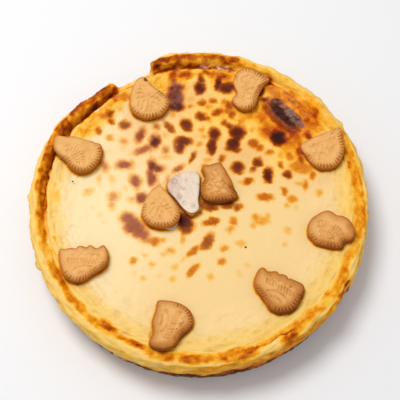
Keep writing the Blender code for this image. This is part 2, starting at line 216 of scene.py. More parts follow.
class Recipe:
    """A material whose nodes are written as expressions."""

    def __init__(self, name: str) -> None:
        """Starts a material of that name, with its Principled shader."""
        self.material = bpy.data.materials.new(name)
        self.material.use_nodes = True
        self.tree = self.material.node_tree
        self.shader = self.tree.nodes["Principled BSDF"]

    def feed(self, socket: bpy.types.NodeSocket, value: "Term | float | tuple") -> None:
        """Links a term to a socket, or sets a number, colour or vector on it.

        Args:
            socket: The input to feed.
            value: The term, number, colour or vector.
        """
        if isinstance(value, Term):
            self.tree.links.new(value.socket, socket)
        elif socket.type == "RGBA":
            socket.default_value = (*value, 1.0)
        else:
            socket.default_value = value

    def node(self, kind: str, settings: dict | None = None, inputs: dict | None = None,
             output: int = 0) -> Term:
        """Adds a node.

        Args:
            kind: The node's type.
            settings: Its properties, set first. "stops" holds a ramp's places and colours.
            inputs: Values or terms, by a socket's name or number.
            output: The number of the output to return.

        Returns:
            The output as a term.
        """
        made = self.tree.nodes.new(kind)
        for name, value in (settings or {}).items():
            if name == "stops":
                self._set_stops(made.color_ramp, value)
            else:
                setattr(made, name, value)
        for key, value in (inputs or {}).items():
            self.feed(made.inputs[key], value)
        return Term(self, made.outputs[output])

    @staticmethod
    def _set_stops(ramp: bpy.types.ColorRamp, stops: Sequence[tuple[float, Colour]]) -> None:
        """Gives a colour ramp its stops.

        Args:
            ramp: The ramp, which starts with two stops.
            stops: Each stop's place from 0 to 1, and its colour.
        """
        while len(ramp.elements) < len(stops):
            ramp.elements.new(1.0)
        for element, (place, colour) in zip(ramp.elements, stops):
            element.position = place
            element.color = (*colour, 1.0)

    def place(self, stretch: Colour = (1.0, 1.0, 1.0)) -> Term:
        """The shaded point's place on the object.

        Args:
            stretch: How much longer the place gets along each axis.

        Returns:
            The place in metres.
        """
        point = self.node("ShaderNodeTexCoord", output=3)
        if stretch == (1.0, 1.0, 1.0):
            return point
        return self.node("ShaderNodeVectorMath", {"operation": "MULTIPLY"}, {0: point, 1: stretch})

    def mask(self, name: str) -> Term:
        """A value that the mesh carries for each of its points."""
        return self.node("ShaderNodeAttribute", {"attribute_name": name}, output=2)

    def speckle(self, size: float, detail: float = 2.0, stretch: Colour = (1.0, 1.0, 1.0)) -> Term:
        """Cloudy noise of a size in millimetres, about 0 to 1."""
        inputs = {"Vector": self.place(stretch), "Scale": 1.0 / (size * MM), "Detail": detail}
        return self.node("ShaderNodeTexNoise", inputs=inputs)

    def pores(self, size: float) -> Term:
        """Round cells of a size in millimetres: 0 in each one's middle, rising outwards."""
        inputs = {"Vector": self.place(), "Scale": 1.0 / (size * MM)}
        return self.node("ShaderNodeTexVoronoi", inputs=inputs)

    def step(self, value: Term, start: float, end: float) -> Term:
        """How far a value has risen from start to end, smoothly, as 0 to 1."""
        inputs = {"Value": value, "From Min": start, "From Max": end}
        return self.node("ShaderNodeMapRange", {"interpolation_type": "SMOOTHSTEP"}, inputs)

    def blend(self, factor: "Term | float", first: "Term | Colour", second: "Term | Colour",
              way: str = "MIX") -> Term:
        """One colour mixed into another by a factor."""
        settings = {"data_type": "RGBA", "blend_type": way}
        return self.node("ShaderNodeMix", settings, {0: factor, 6: first, 7: second}, output=2)

    def ramp(self, value: Term, stops: Sequence[tuple[float, Colour]]) -> Term:
        """A colour read from stops along a value."""
        return self.node("ShaderNodeValToRGB", {"stops": stops}, {0: value})

    def relief(self, height: Term, depth: float, strength: float = 1.0) -> Term:
        """A normal from a height, whose full range is a depth in millimetres."""
        inputs = {"Height": height, "Distance": depth * MM, "Strength": strength}
        return self.node("ShaderNodeBump", inputs=inputs)

    def finish(self, **sockets: "Term | float | tuple") -> bpy.types.Material:
        """Feeds the shader.

        Args:
            **sockets: A value or term by its socket's name, with underscores for spaces.

        Returns:
            The finished material.
        """
        for name, value in sockets.items():
            self.feed(self.shader.inputs[name.replace("_", " ")], value)
        return self.material


# Meshes

@dataclass
class Skin:
    """A closed surface through rings of points, one round each end's middle, with values for each point.

    Attributes:
        name: The piece's name.
        rings: Points in millimetres, by ring, by column round it, by axis.
        masks: Values for each point, by name.
    """

    name: str
    rings: np.ndarray
    masks: dict[str, np.ndarray] = field(default_factory=dict)

    def build(self, material: bpy.types.Material) -> bpy.types.Object:
        """Makes the object, shaded smooth.

        Args:
            material: Its finish.

        Returns:
            The object, linked to the scene.
        """
        count, columns, _ = self.rings.shape
        ends = self.rings[[0, -1]].mean(axis=1)
        points = np.vstack([self.rings.reshape(-1, 3), ends]) * MM
        column = np.arange(columns)
        after = np.roll(column, -1)
        quads = [
            np.stack([below + column, below + after, below + columns + after, below + columns + column], 1)
            for below in range(0, (count - 1) * columns, columns)
        ]
        first, last = count * columns, count * columns + 1
        top = (count - 1) * columns
        caps = [(first, int(b), int(a)) for a, b in zip(column, after)]
        caps += [(last, int(top + a), int(top + b)) for a, b in zip(column, after)]
        mesh = bpy.data.meshes.new(self.name)
        mesh.from_pydata(points.tolist(), [], np.vstack(quads).tolist() + caps)
        for name, values in self.masks.items():
            carried = np.concatenate([values.ravel(), values[[0, -1]].mean(axis=1)])
            attribute = mesh.attributes.new(name, "FLOAT", "POINT")
            attribute.data.foreach_set("value", carried.astype(np.float32))
        return shown(self.name, mesh, material)


def shown(name: str, mesh: bpy.types.Mesh, material: bpy.types.Material) -> bpy.types.Object:
    """Puts a mesh in the scene, shaded smooth.

    Args:
        name: The object's name.
        mesh: Its mesh.
        material: Its only material.

    Returns:
        The object.
    """
    mesh.materials.append(material)
    mesh.shade_smooth()
    piece = bpy.data.objects.new(name, mesh)
    bpy.context.scene.collection.objects.link(piece)
    return piece


def normals_of(rings: np.ndarray) -> np.ndarray:
    """Unit normals of a surface through rings.

    Args:
        rings: Points by ring and column. The normals point out of the surface where its rings run down it.

    Returns:
        A normal for each point.
    """
    along = np.gradient(rings, axis=0)
    around = np.roll(rings, -1, axis=1) - np.roll(rings, 1, axis=1)
    across = np.cross(along, around)
    return across / np.maximum(np.linalg.norm(across, axis=-1, keepdims=True), 1e-9)


def ride(piece: bpy.types.Object, slot: str, *nodes: str) -> None:
    """Puts a piece on the cake's body.

    Args:
        piece: The piece.
        slot: Its material slot. Not used.
        *nodes: The solids that it stands for.
    """
    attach(piece, BODY)
    if nodes:
        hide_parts(*nodes)
    LOG.info("%s: %d faces", piece.name, len(piece.data.polygons))


# Colours and finishes

def shade(red: int, green: int, blue: int) -> Colour:
    """A colour as shaders take it.

    Args:
        red: The usual value of its red, from 0 to 255.
        green: The same of its green.
        blue: The same of its blue.

    Returns:
        The three channels, from 0 to 1.
    """
    def linear(value: int) -> float:
        """One channel without its display curve."""
        share = value / 255.0
        return share / 12.92 if share <= 0.04045 else ((share + 0.055) / 1.055) ** 2.4
    return linear(red), linear(green), linear(blue)


@dataclass(frozen=True)
class Custard:
    """Baked custard: cream where it is pale, golden at the rim, and brown to nearly black where it caught.

    Attributes:
        cream: The palest colour of the top.
        aged: The duller colour towards its back.
        yolk: The yellower colour towards the right and front of the top, partly its own and partly painted
            shade away from the light.
        porous: The colour of the open-pored skin near the rim.
        shaded_pore: The same, darker in its pores and wrinkles as painted shade.
        skin: The broken-open crumb of the wall.
        shaded_skin: The same, darker in its hollows as painted shade.
        veil: A greyish sheen painted on the burnt places: painted reflection.
        caramel: The colours of the golden skin, by how far it has browned.
        stain_with_pink_sheen: The colours of a spot on pale custard, by its tone, greyish pink partly from
            painted sheen.
        orange_stain: The same on yellower custard.
        glint: Painted highlight: pale sparkles painted where the rim is wet, and the pale torn edge of its
            skin.
    """

    cream: Colour = shade(238, 215, 174)
    aged: Colour = shade(226, 180, 120)
    yolk: Colour = shade(232, 201, 146)
    porous: Colour = shade(233, 195, 114)
    shaded_pore: Colour = shade(222, 176, 82)
    skin: Colour = shade(240, 203, 122)
    shaded_skin: Colour = shade(206, 152, 60)
    veil: Colour = shade(148, 116, 104)
    caramel: tuple[tuple[float, Colour], ...] = (
        (0.00, shade(241, 208, 140)), (0.12, shade(240, 198, 110)), (0.22, shade(237, 184, 78)),
        (0.32, shade(231, 162, 34)), (0.42, shade(215, 133, 14)), (0.52, shade(191, 99, 4)),
        (0.62, shade(162, 74, 3)), (0.72, shade(130, 52, 3)), (0.84, shade(94, 34, 8)),
        (1.00, shade(44, 14, 8)),
    )
    stain_with_pink_sheen: tuple[tuple[float, Colour], ...] = (
        (0.00, shade(238, 215, 169)), (0.15, shade(240, 207, 142)), (0.30, shade(228, 174, 108)),
        (0.45, shade(205, 140, 88)), (0.60, shade(174, 105, 70)), (0.72, shade(148, 80, 50)),
        (0.82, shade(122, 58, 34)), (0.90, shade(92, 40, 22)), (1.00, shade(56, 22, 14)),
    )
    orange_stain: tuple[tuple[float, Colour], ...] = (
        (0.00, shade(238, 215, 169)), (0.15, shade(235, 198, 128)), (0.30, shade(224, 168, 88)),
        (0.45, shade(201, 134, 54)), (0.60, shade(168, 98, 28)), (0.72, shade(138, 68, 18)),
        (0.82, shade(108, 44, 12)), (0.90, shade(78, 27, 9)), (1.00, shade(46, 16, 8)),
    )
    glint: Colour = shade(250, 222, 190)

    def tints(self, stain: Sequence[tuple[float, Colour]]) -> list[tuple[float, Colour]]:
        """A stain's colours as shares of the cream that they were seen on."""
        return [(tone, tuple(part / whole for part, whole in zip(colour, self.cream)))
                for tone, colour in stain]

    def material(self) -> bpy.types.Material:
        """The finish of the whole filling.

        Returns:
            The material, which the masks that the mesh carries lead.
        """
        recipe = Recipe("baked_custard")
        fine = recipe.speckle(1.1)
        coarse = recipe.speckle(4.5)
        streaks = recipe.speckle(2.6, stretch=(1.0, 1.0, 3.2))
        uneven = (fine - 0.5) * 0.2 + (coarse - 0.5) * 0.14
        toast, golden = (value + uneven * recipe.step(value, 0.02, 0.3)
                         for value in (recipe.mask("toast"), recipe.mask("golden")))
        yellow = recipe.step(recipe.mask("yolk") + (coarse - 0.5) * 0.5, 0.0, 1.0)
        top = recipe.blend(yellow, self.cream, self.yolk)
        top = recipe.blend(recipe.mask("aged"), top, self.aged)
        # Painted shade: pores, wrinkles and hollows get darker colours.
        deep = recipe.step(recipe.mask("hollow") + (streaks - 0.5) * 0.5, 0.1, 1.1) * 0.7
        porous = recipe.blend(deep, self.porous, self.shaded_pore)
        top = recipe.blend(recipe.step(recipe.mask("porous") + (streaks - 0.5) * 0.9, 0.1, 1.0), top, porous)
        deep = recipe.step(recipe.mask("hollow") + (streaks - 0.5) * 0.7, 0.1, 0.9)
        pale = recipe.blend(recipe.mask("wall"), top, recipe.blend(deep, self.skin, self.shaded_skin))
        pale = recipe.blend(recipe.step(fine, 0.62, 0.8) * 0.25, pale, self.cream)
        baked = recipe.blend(recipe.step(golden, 0.02, 0.16), pale, recipe.ramp(golden, self.caramel))
        stain = recipe.blend(recipe.mask("orange"), recipe.ramp(toast, self.tints(self.stain_with_pink_sheen)),
                             recipe.ramp(toast, self.tints(self.orange_stain)))
        baked = recipe.blend(1.0, baked, stain, way="MULTIPLY")
        # Painted sheen: a greyish reflection is painted into the colour of the burnt places.
        baked = recipe.blend(recipe.mask("veil"), baked, self.veil)
        # Painted highlight: pale sparkles painted along the rim, with the pale torn edge of the skin.
        baked = recipe.blend(recipe.mask("glint"), baked, self.glint)
        gloss = recipe.mask("gloss")
        roughness = 0.5 - recipe.step(toast, 0.3, 0.8) * 0.1 - gloss * 0.2
        height = fine * 0.5 + coarse * 0.3 + recipe.pores(0.9) * 0.3
        return recipe.finish(Base_Color=baked, Roughness=roughness + (fine - 0.5) * 0.1,
                             Specular_IOR_Level=0.07, Coat_Weight=gloss * 0.3, Coat_Roughness=0.22,
                             Normal=recipe.relief(height, 0.22))


@dataclass(frozen=True)
class CrumbCrust:
    """Pressed crumbs, dark from the oven."""

    dark: Colour = shade(98, 50, 18)
    light: Colour = shade(158, 98, 44)

    def material(self) -> bpy.types.Material:
        """The finish of the base.

        Returns:
            The material.
        """
        recipe = Recipe("pressed_crumbs")
        grains = recipe.pores(1.3)
        colour = recipe.blend(recipe.step(recipe.speckle(2.2), 0.35, 0.75), self.dark, self.light)
        colour = recipe.blend(recipe.step(grains, 0.35, 0.8) * 0.6, colour, self.dark)
        height = grains * -0.7 + recipe.speckle(0.8)
        return recipe.finish(Base_Color=colour, Roughness=0.8 + recipe.speckle(1.0) * 0.15,
                             Normal=recipe.relief(height, 0.4))


@dataclass(frozen=True)
class Shortbread:
    """Short biscuit dough, even and pale golden on its face and toasted round its edge."""

    face: Colour = shade(224, 173, 105)
    pale: Colour = shade(240, 196, 132)
    warm: Colour = shade(219, 161, 91)
    edge: Colour = shade(176, 106, 32)
    burnt: Colour = shade(122, 64, 14)

    def material(self) -> bpy.types.Material:
        """The finish of a biscuit.

        Returns:
            The material, which the mask that the mesh carries leads.
        """
        recipe = Recipe("toasted_shortbread")
        fine = recipe.speckle(0.7)
        coarse = recipe.speckle(6.0)
        colour = recipe.blend(recipe.step(coarse, 0.3, 0.7), self.face, self.warm)
        colour = recipe.blend(recipe.step(fine, 0.55, 0.8) * 0.6, colour, self.pale)
        toast = recipe.mask("toast") + (fine - 0.5) * 0.3
        colour = recipe.blend(recipe.step(toast, 0.15, 0.75), colour, self.edge)
        colour = recipe.blend(recipe.step(toast, 0.75, 1.35), colour, self.burnt)
        height = fine * 0.7 + recipe.pores(0.8) * 0.4
        return recipe.finish(Base_Color=colour, Roughness=0.72 + (fine - 0.5) * 0.15,
                             Specular_IOR_Level=0.3, Normal=recipe.relief(height, 0.2))


@dataclass(frozen=True)
class Icing:
    """A set white coating, warmer and greyer towards one side."""

    white: Colour = shade(210, 191, 171)
    warm: Colour = shade(191, 163, 146)
    brown: Colour = shade(164, 128, 98)

    def material(self) -> bpy.types.Material:
        """The finish of a coating.

        Returns:
            The material, which the masks that the mesh carries lead.
        """
        recipe = Recipe("set_icing")
        cloudy = recipe.speckle(5.0)
        warmed = recipe.step(recipe.mask("warm") + (cloudy - 0.5) * 0.5, 0.1, 0.9)
        colour = recipe.blend(warmed, self.white, self.warm)
        colour = recipe.blend(recipe.step(recipe.mask("toast") + (cloudy - 0.5) * 0.3, 0.3, 1.0),
                              colour, self.brown)
        height = recipe.speckle(1.6) * 0.6 + recipe.speckle(0.6) * 0.3
        return recipe.finish(Base_Color=colour, Roughness=0.38 + (cloudy - 0.5) * 0.2,
                             Normal=recipe.relief(height, 0.18))


@dataclass(frozen=True)
class Soot:
    """Burnt specks that fell on the cake."""

    black: Colour = shade(28, 14, 8)
    brown: Colour = shade(74, 40, 20)

    def material(self) -> bpy.types.Material:
        """The finish of the specks.

        Returns:
            The material.
        """
        recipe = Recipe("burnt_specks")
        colour = recipe.blend(recipe.step(recipe.speckle(0.6), 0.4, 0.7), self.black, self.brown)
        return recipe.finish(Base_Color=colour, Roughness=0.7 + recipe.speckle(0.5) * 0.2)


@dataclass(frozen=True)
class PaleFloor:
    """The plain floor of the studio."""

    pale: Colour = shade(228, 231, 237)
    shaded: Colour = shade(218, 221, 227)

    def material(self) -> bpy.types.Material:
        """The finish of the floor.

        Returns:
            The material.
        """
        recipe = Recipe("studio_floor")
        colour = recipe.blend(recipe.speckle(60.0) * 0.04, self.pale, self.shaded)
        return recipe.finish(Base_Color=colour, Roughness=0.6)


# The filling

@dataclass(frozen=True)
class RimStation:
    """The rim at one angle round the cake.

    Attributes:
        angle: Degrees from +X.
        radius: The rim's outer radius.
        crest: The height of its crest.
        crease: The radius of the crease between the top and the rim.
        depth: How deep that crease is.
    """

    angle: float
    radius: float
    crest: float
    crease: float
    depth: float


RIM = tuple(RimStation(*values) for values in (
    (0, 129.5, 43.6, 118.5, 0.8), (20, 130.3, 44.4, 117.0, 1.2), (40, 129.2, 45.4, 116.0, 1.6),
    (60, 128.0, 46.0, 117.5, 2.2), (75, 127.6, 46.2, 117.5, 3.0), (90, 128.2, 46.6, 114.8, 3.6),
    (103, 129.0, 46.6, 116.0, 3.6), (107.5, 126.5, 45.8, 115.5, 3.0), (110, 117.8, 41.6, 110.8, 0.4),
    (117, 116.6, 41.0, 110.0, 0.2), (123, 117.6, 41.4, 110.8, 0.4), (125.5, 123.4, 45.6, 113.8, 3.4),
    (134, 123.2, 46.8, 112.6, 4.6), (141, 124.6, 47.2, 114.2, 4.8), (150, 128.6, 47.2, 117.2, 4.6),
    (165, 129.6, 46.8, 118.2, 4.0), (182, 129.4, 46.2, 118.0, 3.0), (200, 130.0, 45.2, 117.0, 1.6),
    (218, 130.6, 44.8, 116.0, 1.0), (240, 130.6, 44.8, 116.0, 0.9), (262, 130.4, 45.2, 117.0, 0.9),
    (288, 130.2, 45.2, 118.0, 0.9), (312, 130.0, 44.6, 118.6, 0.8), (338, 129.8, 44.0, 118.6, 0.7),
))


@dataclass(frozen=True)
class Spot:
    """A browned spot on the top, or a spot of painted shadow beside a biscuit: its middle, half its length
    and width, its tilt in degrees and its tone.
    """

    x: float
    y: float
    length: float
    width: float
    tilt: float
    tone: float


@dataclass(frozen=True)
class Band:
    """A browned stretch of the rim: its first and last angle, its radii and its tone."""

    start: float
    end: float
    inner: float
    outer: float
    tone: float


BACK_LEFT_SPOTS = (
    (-20, 103, 4.5, 3.5, 80, 0.66), (-20, 108, 3, 3, 0, 0.5), (-18, 89, 11, 5.6, 84, 0.84),
    (-18.5, 97, 7, 3.4, 12, 0.84),
    (-19, 90, 7, 6, 0, 0.86), (-18, 82, 6, 5, 0, 0.9), (-21, 74.5, 3, 2, 90, 0.3),
    (-6.5, 87.5, 2, 2, 0, 0.2), (-7, 81, 2.3, 1.8, 0, 0.45), (-9.8, 65, 5.5, 4.2, -50, 0.8),
    (-23, 63, 6.5, 2.6, -50, 0.65), (-33.5, 63.5, 2.8, 2.8, 0, 0.55), (-26.5, 56.5, 2, 1.8, 0, 0.25),
    (-46, 56.5, 6.3, 3.6, 68, 0.72), (-58.5, 65, 4.6, 3.6, 0, 0.68), (-34.5, 51, 5.6, 4.2, 75, 0.9),
    (-43, 43.5, 8.5, 3, 22, 0.6), (-12, 50.8, 7, 3.9, 0, 0.82), (-15, 46, 5, 4, 90, 0.82),
    (-26, 43.5, 2.8, 2.6, 90, 0.5), (-26, 37.5, 4.5, 1.8, 0, 0.22), (-4.8, 37.5, 5.5, 2, 62, 0.65),
    (-58, 30.5, 6.5, 3.8, 0, 0.66), (-61, 30, 4, 2.5, 0, 0.5), (-36.5, 30, 6, 3.4, 90, 0.82),
    (-32, 27.5, 5, 3.2, 0, 0.8), (-37.5, 23, 5, 3, 90, 0.7), (-36, 19, 6, 4, 90, 0.72),
    (-49, 17, 6, 4, 110, 0.66), (-70.5, 74, 3, 2.8, 0, 0.72), (-69.5, 68, 3, 2.6, 90, 0.55),
    (-75, 72, 4, 2.5, 0, 0.45), (-79.3, 59.5, 2.8, 2.6, 90, 0.55), (-70, 54, 2.8, 2.5, 0, 0.38),
    (-59, 51, 2.8, 2.2, 0, 0.38), (-59.5, 45, 1.5, 1.5, 0, 0.15), (-70, 42, 1.4, 1.4, 0, 0.1),
    (-74, 30, 5, 3.6, 110, 0.5), (-62.5, 78, 2, 1.5, 0, 0.25), (-59, 88.5, 4, 3, 0, 0.45),
    (-66, 93, 5, 3, 90, 0.5), (-77.5, 19, 3.5, 1.8, 90, 0.28), (-67.5, 19, 3.5, 2, 110, 0.25),
    (-85, 8, 4, 2.5, 35, 0.22), (-16, 27.5, 5, 2, 35, 0.6), (-24, 18, 4, 2, 90, 0.4),
    (-31, 13.5, 2, 1.5, 0, 0.4),
)
FRONT_LEFT_SPOTS = (
    (-44, 3, 4.5, 4.5, 0, 0.72), (-51, 2, 3, 1.8, 0, 0.35), (-65.5, 4.5, 4.5, 4, 0, 0.42),
    (-66.5, -2.5, 3.5, 2.5, 90, 0.32), (-57, 11, 1.2, 1.2, 0, 0.2), (-75.5, -11, 1.2, 1.2, 0, 0.12),
    (-81, -4.5, 1, 1, 0, 0.1), (-72, -16.5, 1.2, 1.2, 0, 0.1), (-49, -20, 13, 6.3, -48, 0.66),
    (-54, -14, 6, 5.5, -45, 0.66), (-50, -20.5, 6.5, 6, 0, 0.68), (-43.5, -26, 6.5, 5, -30, 0.64),
    (-38, -31, 5, 3, 0, 0.45), (-33, -32, 4, 3.2, 0, 0.5), (-27, -31, 2.5, 1.5, 0, 0.3),
    # The spots at (-12, -15), (-10, -21) and (-11, -16) are painted shadow beside the turned-over biscuit.
    (-12, -15, 6, 5, 90, 0.9), (-10, -21, 5, 5, 0, 0.75), (-11, -16, 8, 5.5, -50, 0.85),
    (-5, -20, 3, 3, 0, 0.3), (-12, -30, 3.5, 1.5, 90, 0.28), (-21, -39.5, 3.5, 2.4, 0, 0.3),
    (-26, -42, 2.6, 1.8, 0, 0.22), (-40.5, -43, 2, 1.8, 0, 0.18), (-49, -47.5, 2.6, 2.3, 0, 0.38),
    (-35, -50, 2, 1.8, 90, 0.3), (-41.5, -61, 1.8, 1.5, 0, 0.25), (-18, -52, 2.5, 2, 45, 0.2),
    (-12, -46.5, 2, 1.3, 45, 0.17), (-19.5, -61.5, 2, 1.6, 0, 0.25), (-29, -59, 1.2, 1.2, 0, 0.12),
    (-48, -57, 1.2, 1.2, 0, 0.1),
)
BACK_RIGHT_SPOTS = (
    (0.8, 97, 5, 4.5, 90, 0.85), (1.5, 104.5, 4, 2.6, 90, 0.75), (15.5, 101, 6, 3.5, 90, 0.88),
    (22.5, 97, 6.5, 4.5, 0, 0.85), (3, 84.5, 3.4, 2.6, 0, 0.62), (12, 86, 3.2, 2.2, 0, 0.56),
    (7.5, 81, 3, 2.5, 0, 0.35), (24, 81.5, 4.5, 3.2, 110, 0.6), (26.3, 74, 3.2, 2.8, 90, 0.62),
    (20.5, 85, 2.5, 2.5, 0, 0.45), (23, 77, 2.5, 2, 0, 0.5), (14.3, 76.5, 4.2, 2.8, 25, 0.66),
    (1.5, 72.5, 4.5, 3.8, 0, 0.75), (6.5, 71, 2.5, 2, 0, 0.6), (9, 70, 2.5, 1.5, 90, 0.2),
    (2.5, 61, 2, 2, 0, 0.35), (4, 55, 2, 1.5, 0, 0.3), (0.5, 48.5, 2.6, 2, 0, 0.35),
    (-2, 55, 1, 1, 0, 0.15), (12.5, 57, 5.8, 5, 90, 0.82), (10.3, 46.5, 7.5, 3.8, 86, 0.84),
    (20.5, 67.5, 2.6, 2.6, 0, 0.6), (24.5, 64.5, 4, 2.6, -45, 0.7), (30.5, 59, 6.5, 6, 0, 0.88),
    (33.5, 67.5, 3, 2, 90, 0.4), (29.5, 53, 4, 3.5, 90, 0.85), (27, 48.5, 5.5, 5.5, 0, 0.88),
    (23.5, 44.5, 3, 2.5, 0, 0.7), (30, 44, 2.5, 2.5, 0, 0.75), (43, 49, 4, 4, 0, 0.58),
    (47.5, 45.5, 3, 2.6, 0, 0.55), (62.5, 54, 6.8, 6.5, 90, 0.95), (58, 57, 4, 4, 0, 0.6),
    (56, 58, 9, 5.5, -20, 0.42),
    (53, 60, 5, 3.5, 0, 0.5), (73, 60, 5, 4, 90, 0.42), (55.5, 41.5, 2.8, 2.5, 0, 0.5),
    (42, 60.5, 2, 1.6, 0, 0.3), (41, 72, 3, 2.2, 0, 0.32), (50, 72, 4, 3, 0, 0.35),
    (64, 39, 2.2, 1.6, 90, 0.25), (71, 38.5, 3.6, 2.6, 90, 0.42), (79, 28.5, 9, 4.5, -15, 0.42),
    (87.7, 21.5, 3, 2.3, 90, 0.5), (63.5, 31, 2.6, 1.8, 125, 0.55), (69, 23, 4, 3.4, 110, 0.75),
    (53.5, 22, 6.3, 3.8, 85, 0.88), (46, 33, 4, 4, 0, 0.78), (42.5, 27, 3, 2.2, 50, 0.65),
    (29.8, 29, 5.4, 5, 30, 0.82), (31.5, 24.5, 2.5, 2.2, 0, 0.65), (38.3, 17, 3.6, 2.8, 0, 0.62),
    (33, 16, 2.2, 1.5, 0, 0.25), (18, 36, 3, 2.4, 60, 0.6), (7, 35, 3, 1.5, 0, 0.3),
    (4, 30, 2.5, 2, 0, 0.35), (85.5, 54.5, 3, 3, 0, 0.75), (79, 43, 6, 2, 90, 0.55),
    # The spots at (55, 102) and (50, 94) are painted shadow beside the back-right biscuit.
    (80, 35, 4, 2.5, 90, 0.6), (55, 102, 3, 3, 0, 0.85), (50, 94, 5, 2, 90, 0.75),
)
FRONT_RIGHT_SPOTS = (
    (82, 14, 3.8, 2.3, 90, 0.48), (78, 15, 3, 1.5, 0, 0.3), (92.3, 7, 3, 1.8, 90, 0.3),
    (65.8, 9, 3.2, 2.2, 120, 0.5), (72, 2.5, 3.6, 3.2, 0, 0.4), (67.5, -2.5, 2, 2, 0, 0.27),
    (74, -5.5, 2, 1.5, 90, 0.15), (51, 3.8, 6.5, 3.4, 0, 0.52), (43, -13, 2.6, 2.6, 0, 0.38),
    (47.5, -15.5, 6, 4, 0, 0.3), (41, -19, 2.5, 2, 0, 0.28), (53, -12, 2, 2, 0, 0.27),
    (26.5, -16, 3.4, 2.6, 90, 0.45), (24, -22, 2.8, 2.6, 40, 0.33), (9.5, -16.5, 6.5, 3, 14, 0.58),
    # The spots on this line and the next are painted shadow below the centre-right biscuit.
    (9, -4.5, 5.5, 3, 0, 0.72), (3, -3, 3, 3, 0, 0.7), (22, -2.5, 5, 3, 0, 0.68),
    (29, -5, 2.6, 2.4, 0, 0.68), (32, -3.5, 2, 2, 0, 0.5), (15.5, -1, 5, 2, 0, 0.55),
    (6.5, -32, 7, 4, 58, 0.66), (-4, -40, 6, 2.4, 38, 0.5), (-4, -54, 6.5, 2.5, 47, 0.46),
    (19.8, -37.7, 3, 2.2, 0, 0.38), (17, -48.3, 3, 2.6, 0, 0.42), (9, -59.5, 1.8, 1.8, 0, 0.28),
    (32, -33.5, 4, 2.5, -20, 0.24), (36.5, -51, 2.2, 1.6, 0, 0.15), (30, -57, 2.5, 2, 90, 0.12),
    (67.5, -23, 3, 2.8, 90, 0.22), (64.5, -34.5, 1.8, 1.6, 90, 0.2),
)
BURNT_PLACE_SPOTS = (
    (67, 72.5, 18.5, 5, -47, 1.0), (62, 83, 7, 4.5, -25, 0.93), (74.5, 71, 13, 4.5, -50, 0.92),
    (52, 86, 4, 2.4, 0, 0.8), (67, 92, 2.5, 2.5, 0, 0.55), (75, 84, 3.5, 2.5, 0, 0.6),
    (85, 77, 6, 3.5, 100, 0.55), (92, 68, 4, 3, 90, 0.5), (60, 95, 4, 3, 0, 0.5), (88, 86, 4, 3, 0, 0.3),
    (64, 70, 20.5, 6.2, -46, 0.72), (73, 87, 10, 4.5, -42, 0.6), (84, 77, 9, 4.5, -52, 0.6),
    (62, 91, 8, 4, -30, 0.48), (-10, 108, 4, 3, 0, 0.5),
)
SPOTS = tuple(Spot(*values) for values in (
    BACK_LEFT_SPOTS + FRONT_LEFT_SPOTS + BACK_RIGHT_SPOTS + FRONT_RIGHT_SPOTS + BURNT_PLACE_SPOTS
))
BANDS = tuple(Band(*values) for values in (
    (-15, 14, 118.5, 127, 0.34), (-12, 13, 123.2, 128, 0.46), (-7, 12, 111.5, 119, 0.15),
    (11, 17, 117, 121, 0.52), (15, 30, 121.5, 128, 0.38), (30, 62, 115, 125.5, 0.3),
    (37, 42, 112, 121, 0.52), (30.5, 35, 107, 115, 0.42), (44, 47, 110, 116, 0.54),
    (36, 46, 107, 113, 0.38), (47, 61, 109.5, 113.5, 0.42), (49, 53, 116, 120, 0.4),
    (57, 61, 114, 118, 0.54), (62, 74, 119, 124.5, 0.33), (62, 76, 106, 117, 0.42),
    (74, 109, 119, 127, 0.66), (75, 109, 113.2, 118, 0.68), (75, 90, 104.5, 113.5, 0.52),
    (76, 81, 107, 112, 0.6), (92, 104, 106, 113, 0.47), (96, 101, 111.5, 121.5, 0.72),
    (104.5, 108.6, 116.5, 121, 0.74), (78, 82, 117, 121.5, 0.64), (86.5, 90.5, 118, 124, 0.6),
    (91, 95, 112, 119, 0.64), (104, 113, 97, 112, 0.28), (113, 122, 109, 113, 0.42),
    (125.5, 145, 111.6, 116.6, 0.72), (125.5, 144, 116, 121, 0.6), (126, 146, 118.5, 125.6, 0.62),
    (126, 129.5, 106, 112, 0.5), (128, 150, 104, 113, 0.32), (144, 155, 115.8, 118, 0.74),
    (144, 150, 118, 125, 0.38), (146, 163, 118, 126.5, 0.58), (155, 177, 117.2, 119.4, 0.74),
    (160, 178, 118.4, 125.5, 0.5), (163, 167, 120, 126, 0.54), (176, 188, 117, 123.5, 0.49),
    (174, 184, 116.8, 118.6, 0.7), (174, 182, 107, 116, 0.2), (184, 200, 118, 124, 0.38),
    (190, 198.5, 118.8, 123, 0.5), (195, 198, 111.5, 114.5, 0.42), (199, 216, 117.4, 124.8, 0.44),
    (205, 213, 117, 124, 0.5), (213, 233, 117.8, 124.8, 0.47), (223, 233, 117.6, 123.5, 0.42),
    (231, 241, 116, 122.2, 0.55), (235, 240, 116.4, 120.6, 0.68), (241, 252, 118, 123.4, 0.5),
    (246.5, 250.5, 119.5, 123, 0.62), (250, 252, 108, 113, 0.52), (252, 263, 119, 126.5, 0.48),
    (262, 276, 119, 126.8, 0.49), (275, 292, 119.2, 127.4, 0.5), (276, 284, 119, 120.4, 0.58),
    (283, 299, 120.6, 122.2, 0.62), (283.5, 288.5, 122.4, 127.6, 0.56), (298, 304.5, 122.6, 128.6, 0.6),
    (297.5, 305, 120.8, 122.4, 0.62), (304, 320, 119.6, 126, 0.38), (306, 312, 120.8, 123, 0.52),
    (313.5, 317, 120, 125.5, 0.5), (320, 333, 119, 127.5, 0.42), (321.5, 325, 119.5, 125, 0.5),
    (328.8, 332.2, 119, 125.4, 0.54), (322, 331.5, 127.2, 129.8, 0.62), (333, 345, 119, 126, 0.31),
    (336, 339, 120, 124, 0.4), (345, 361, 118.6, 126.6, 0.38), (349, 360, 122.8, 124.8, 0.48),
))
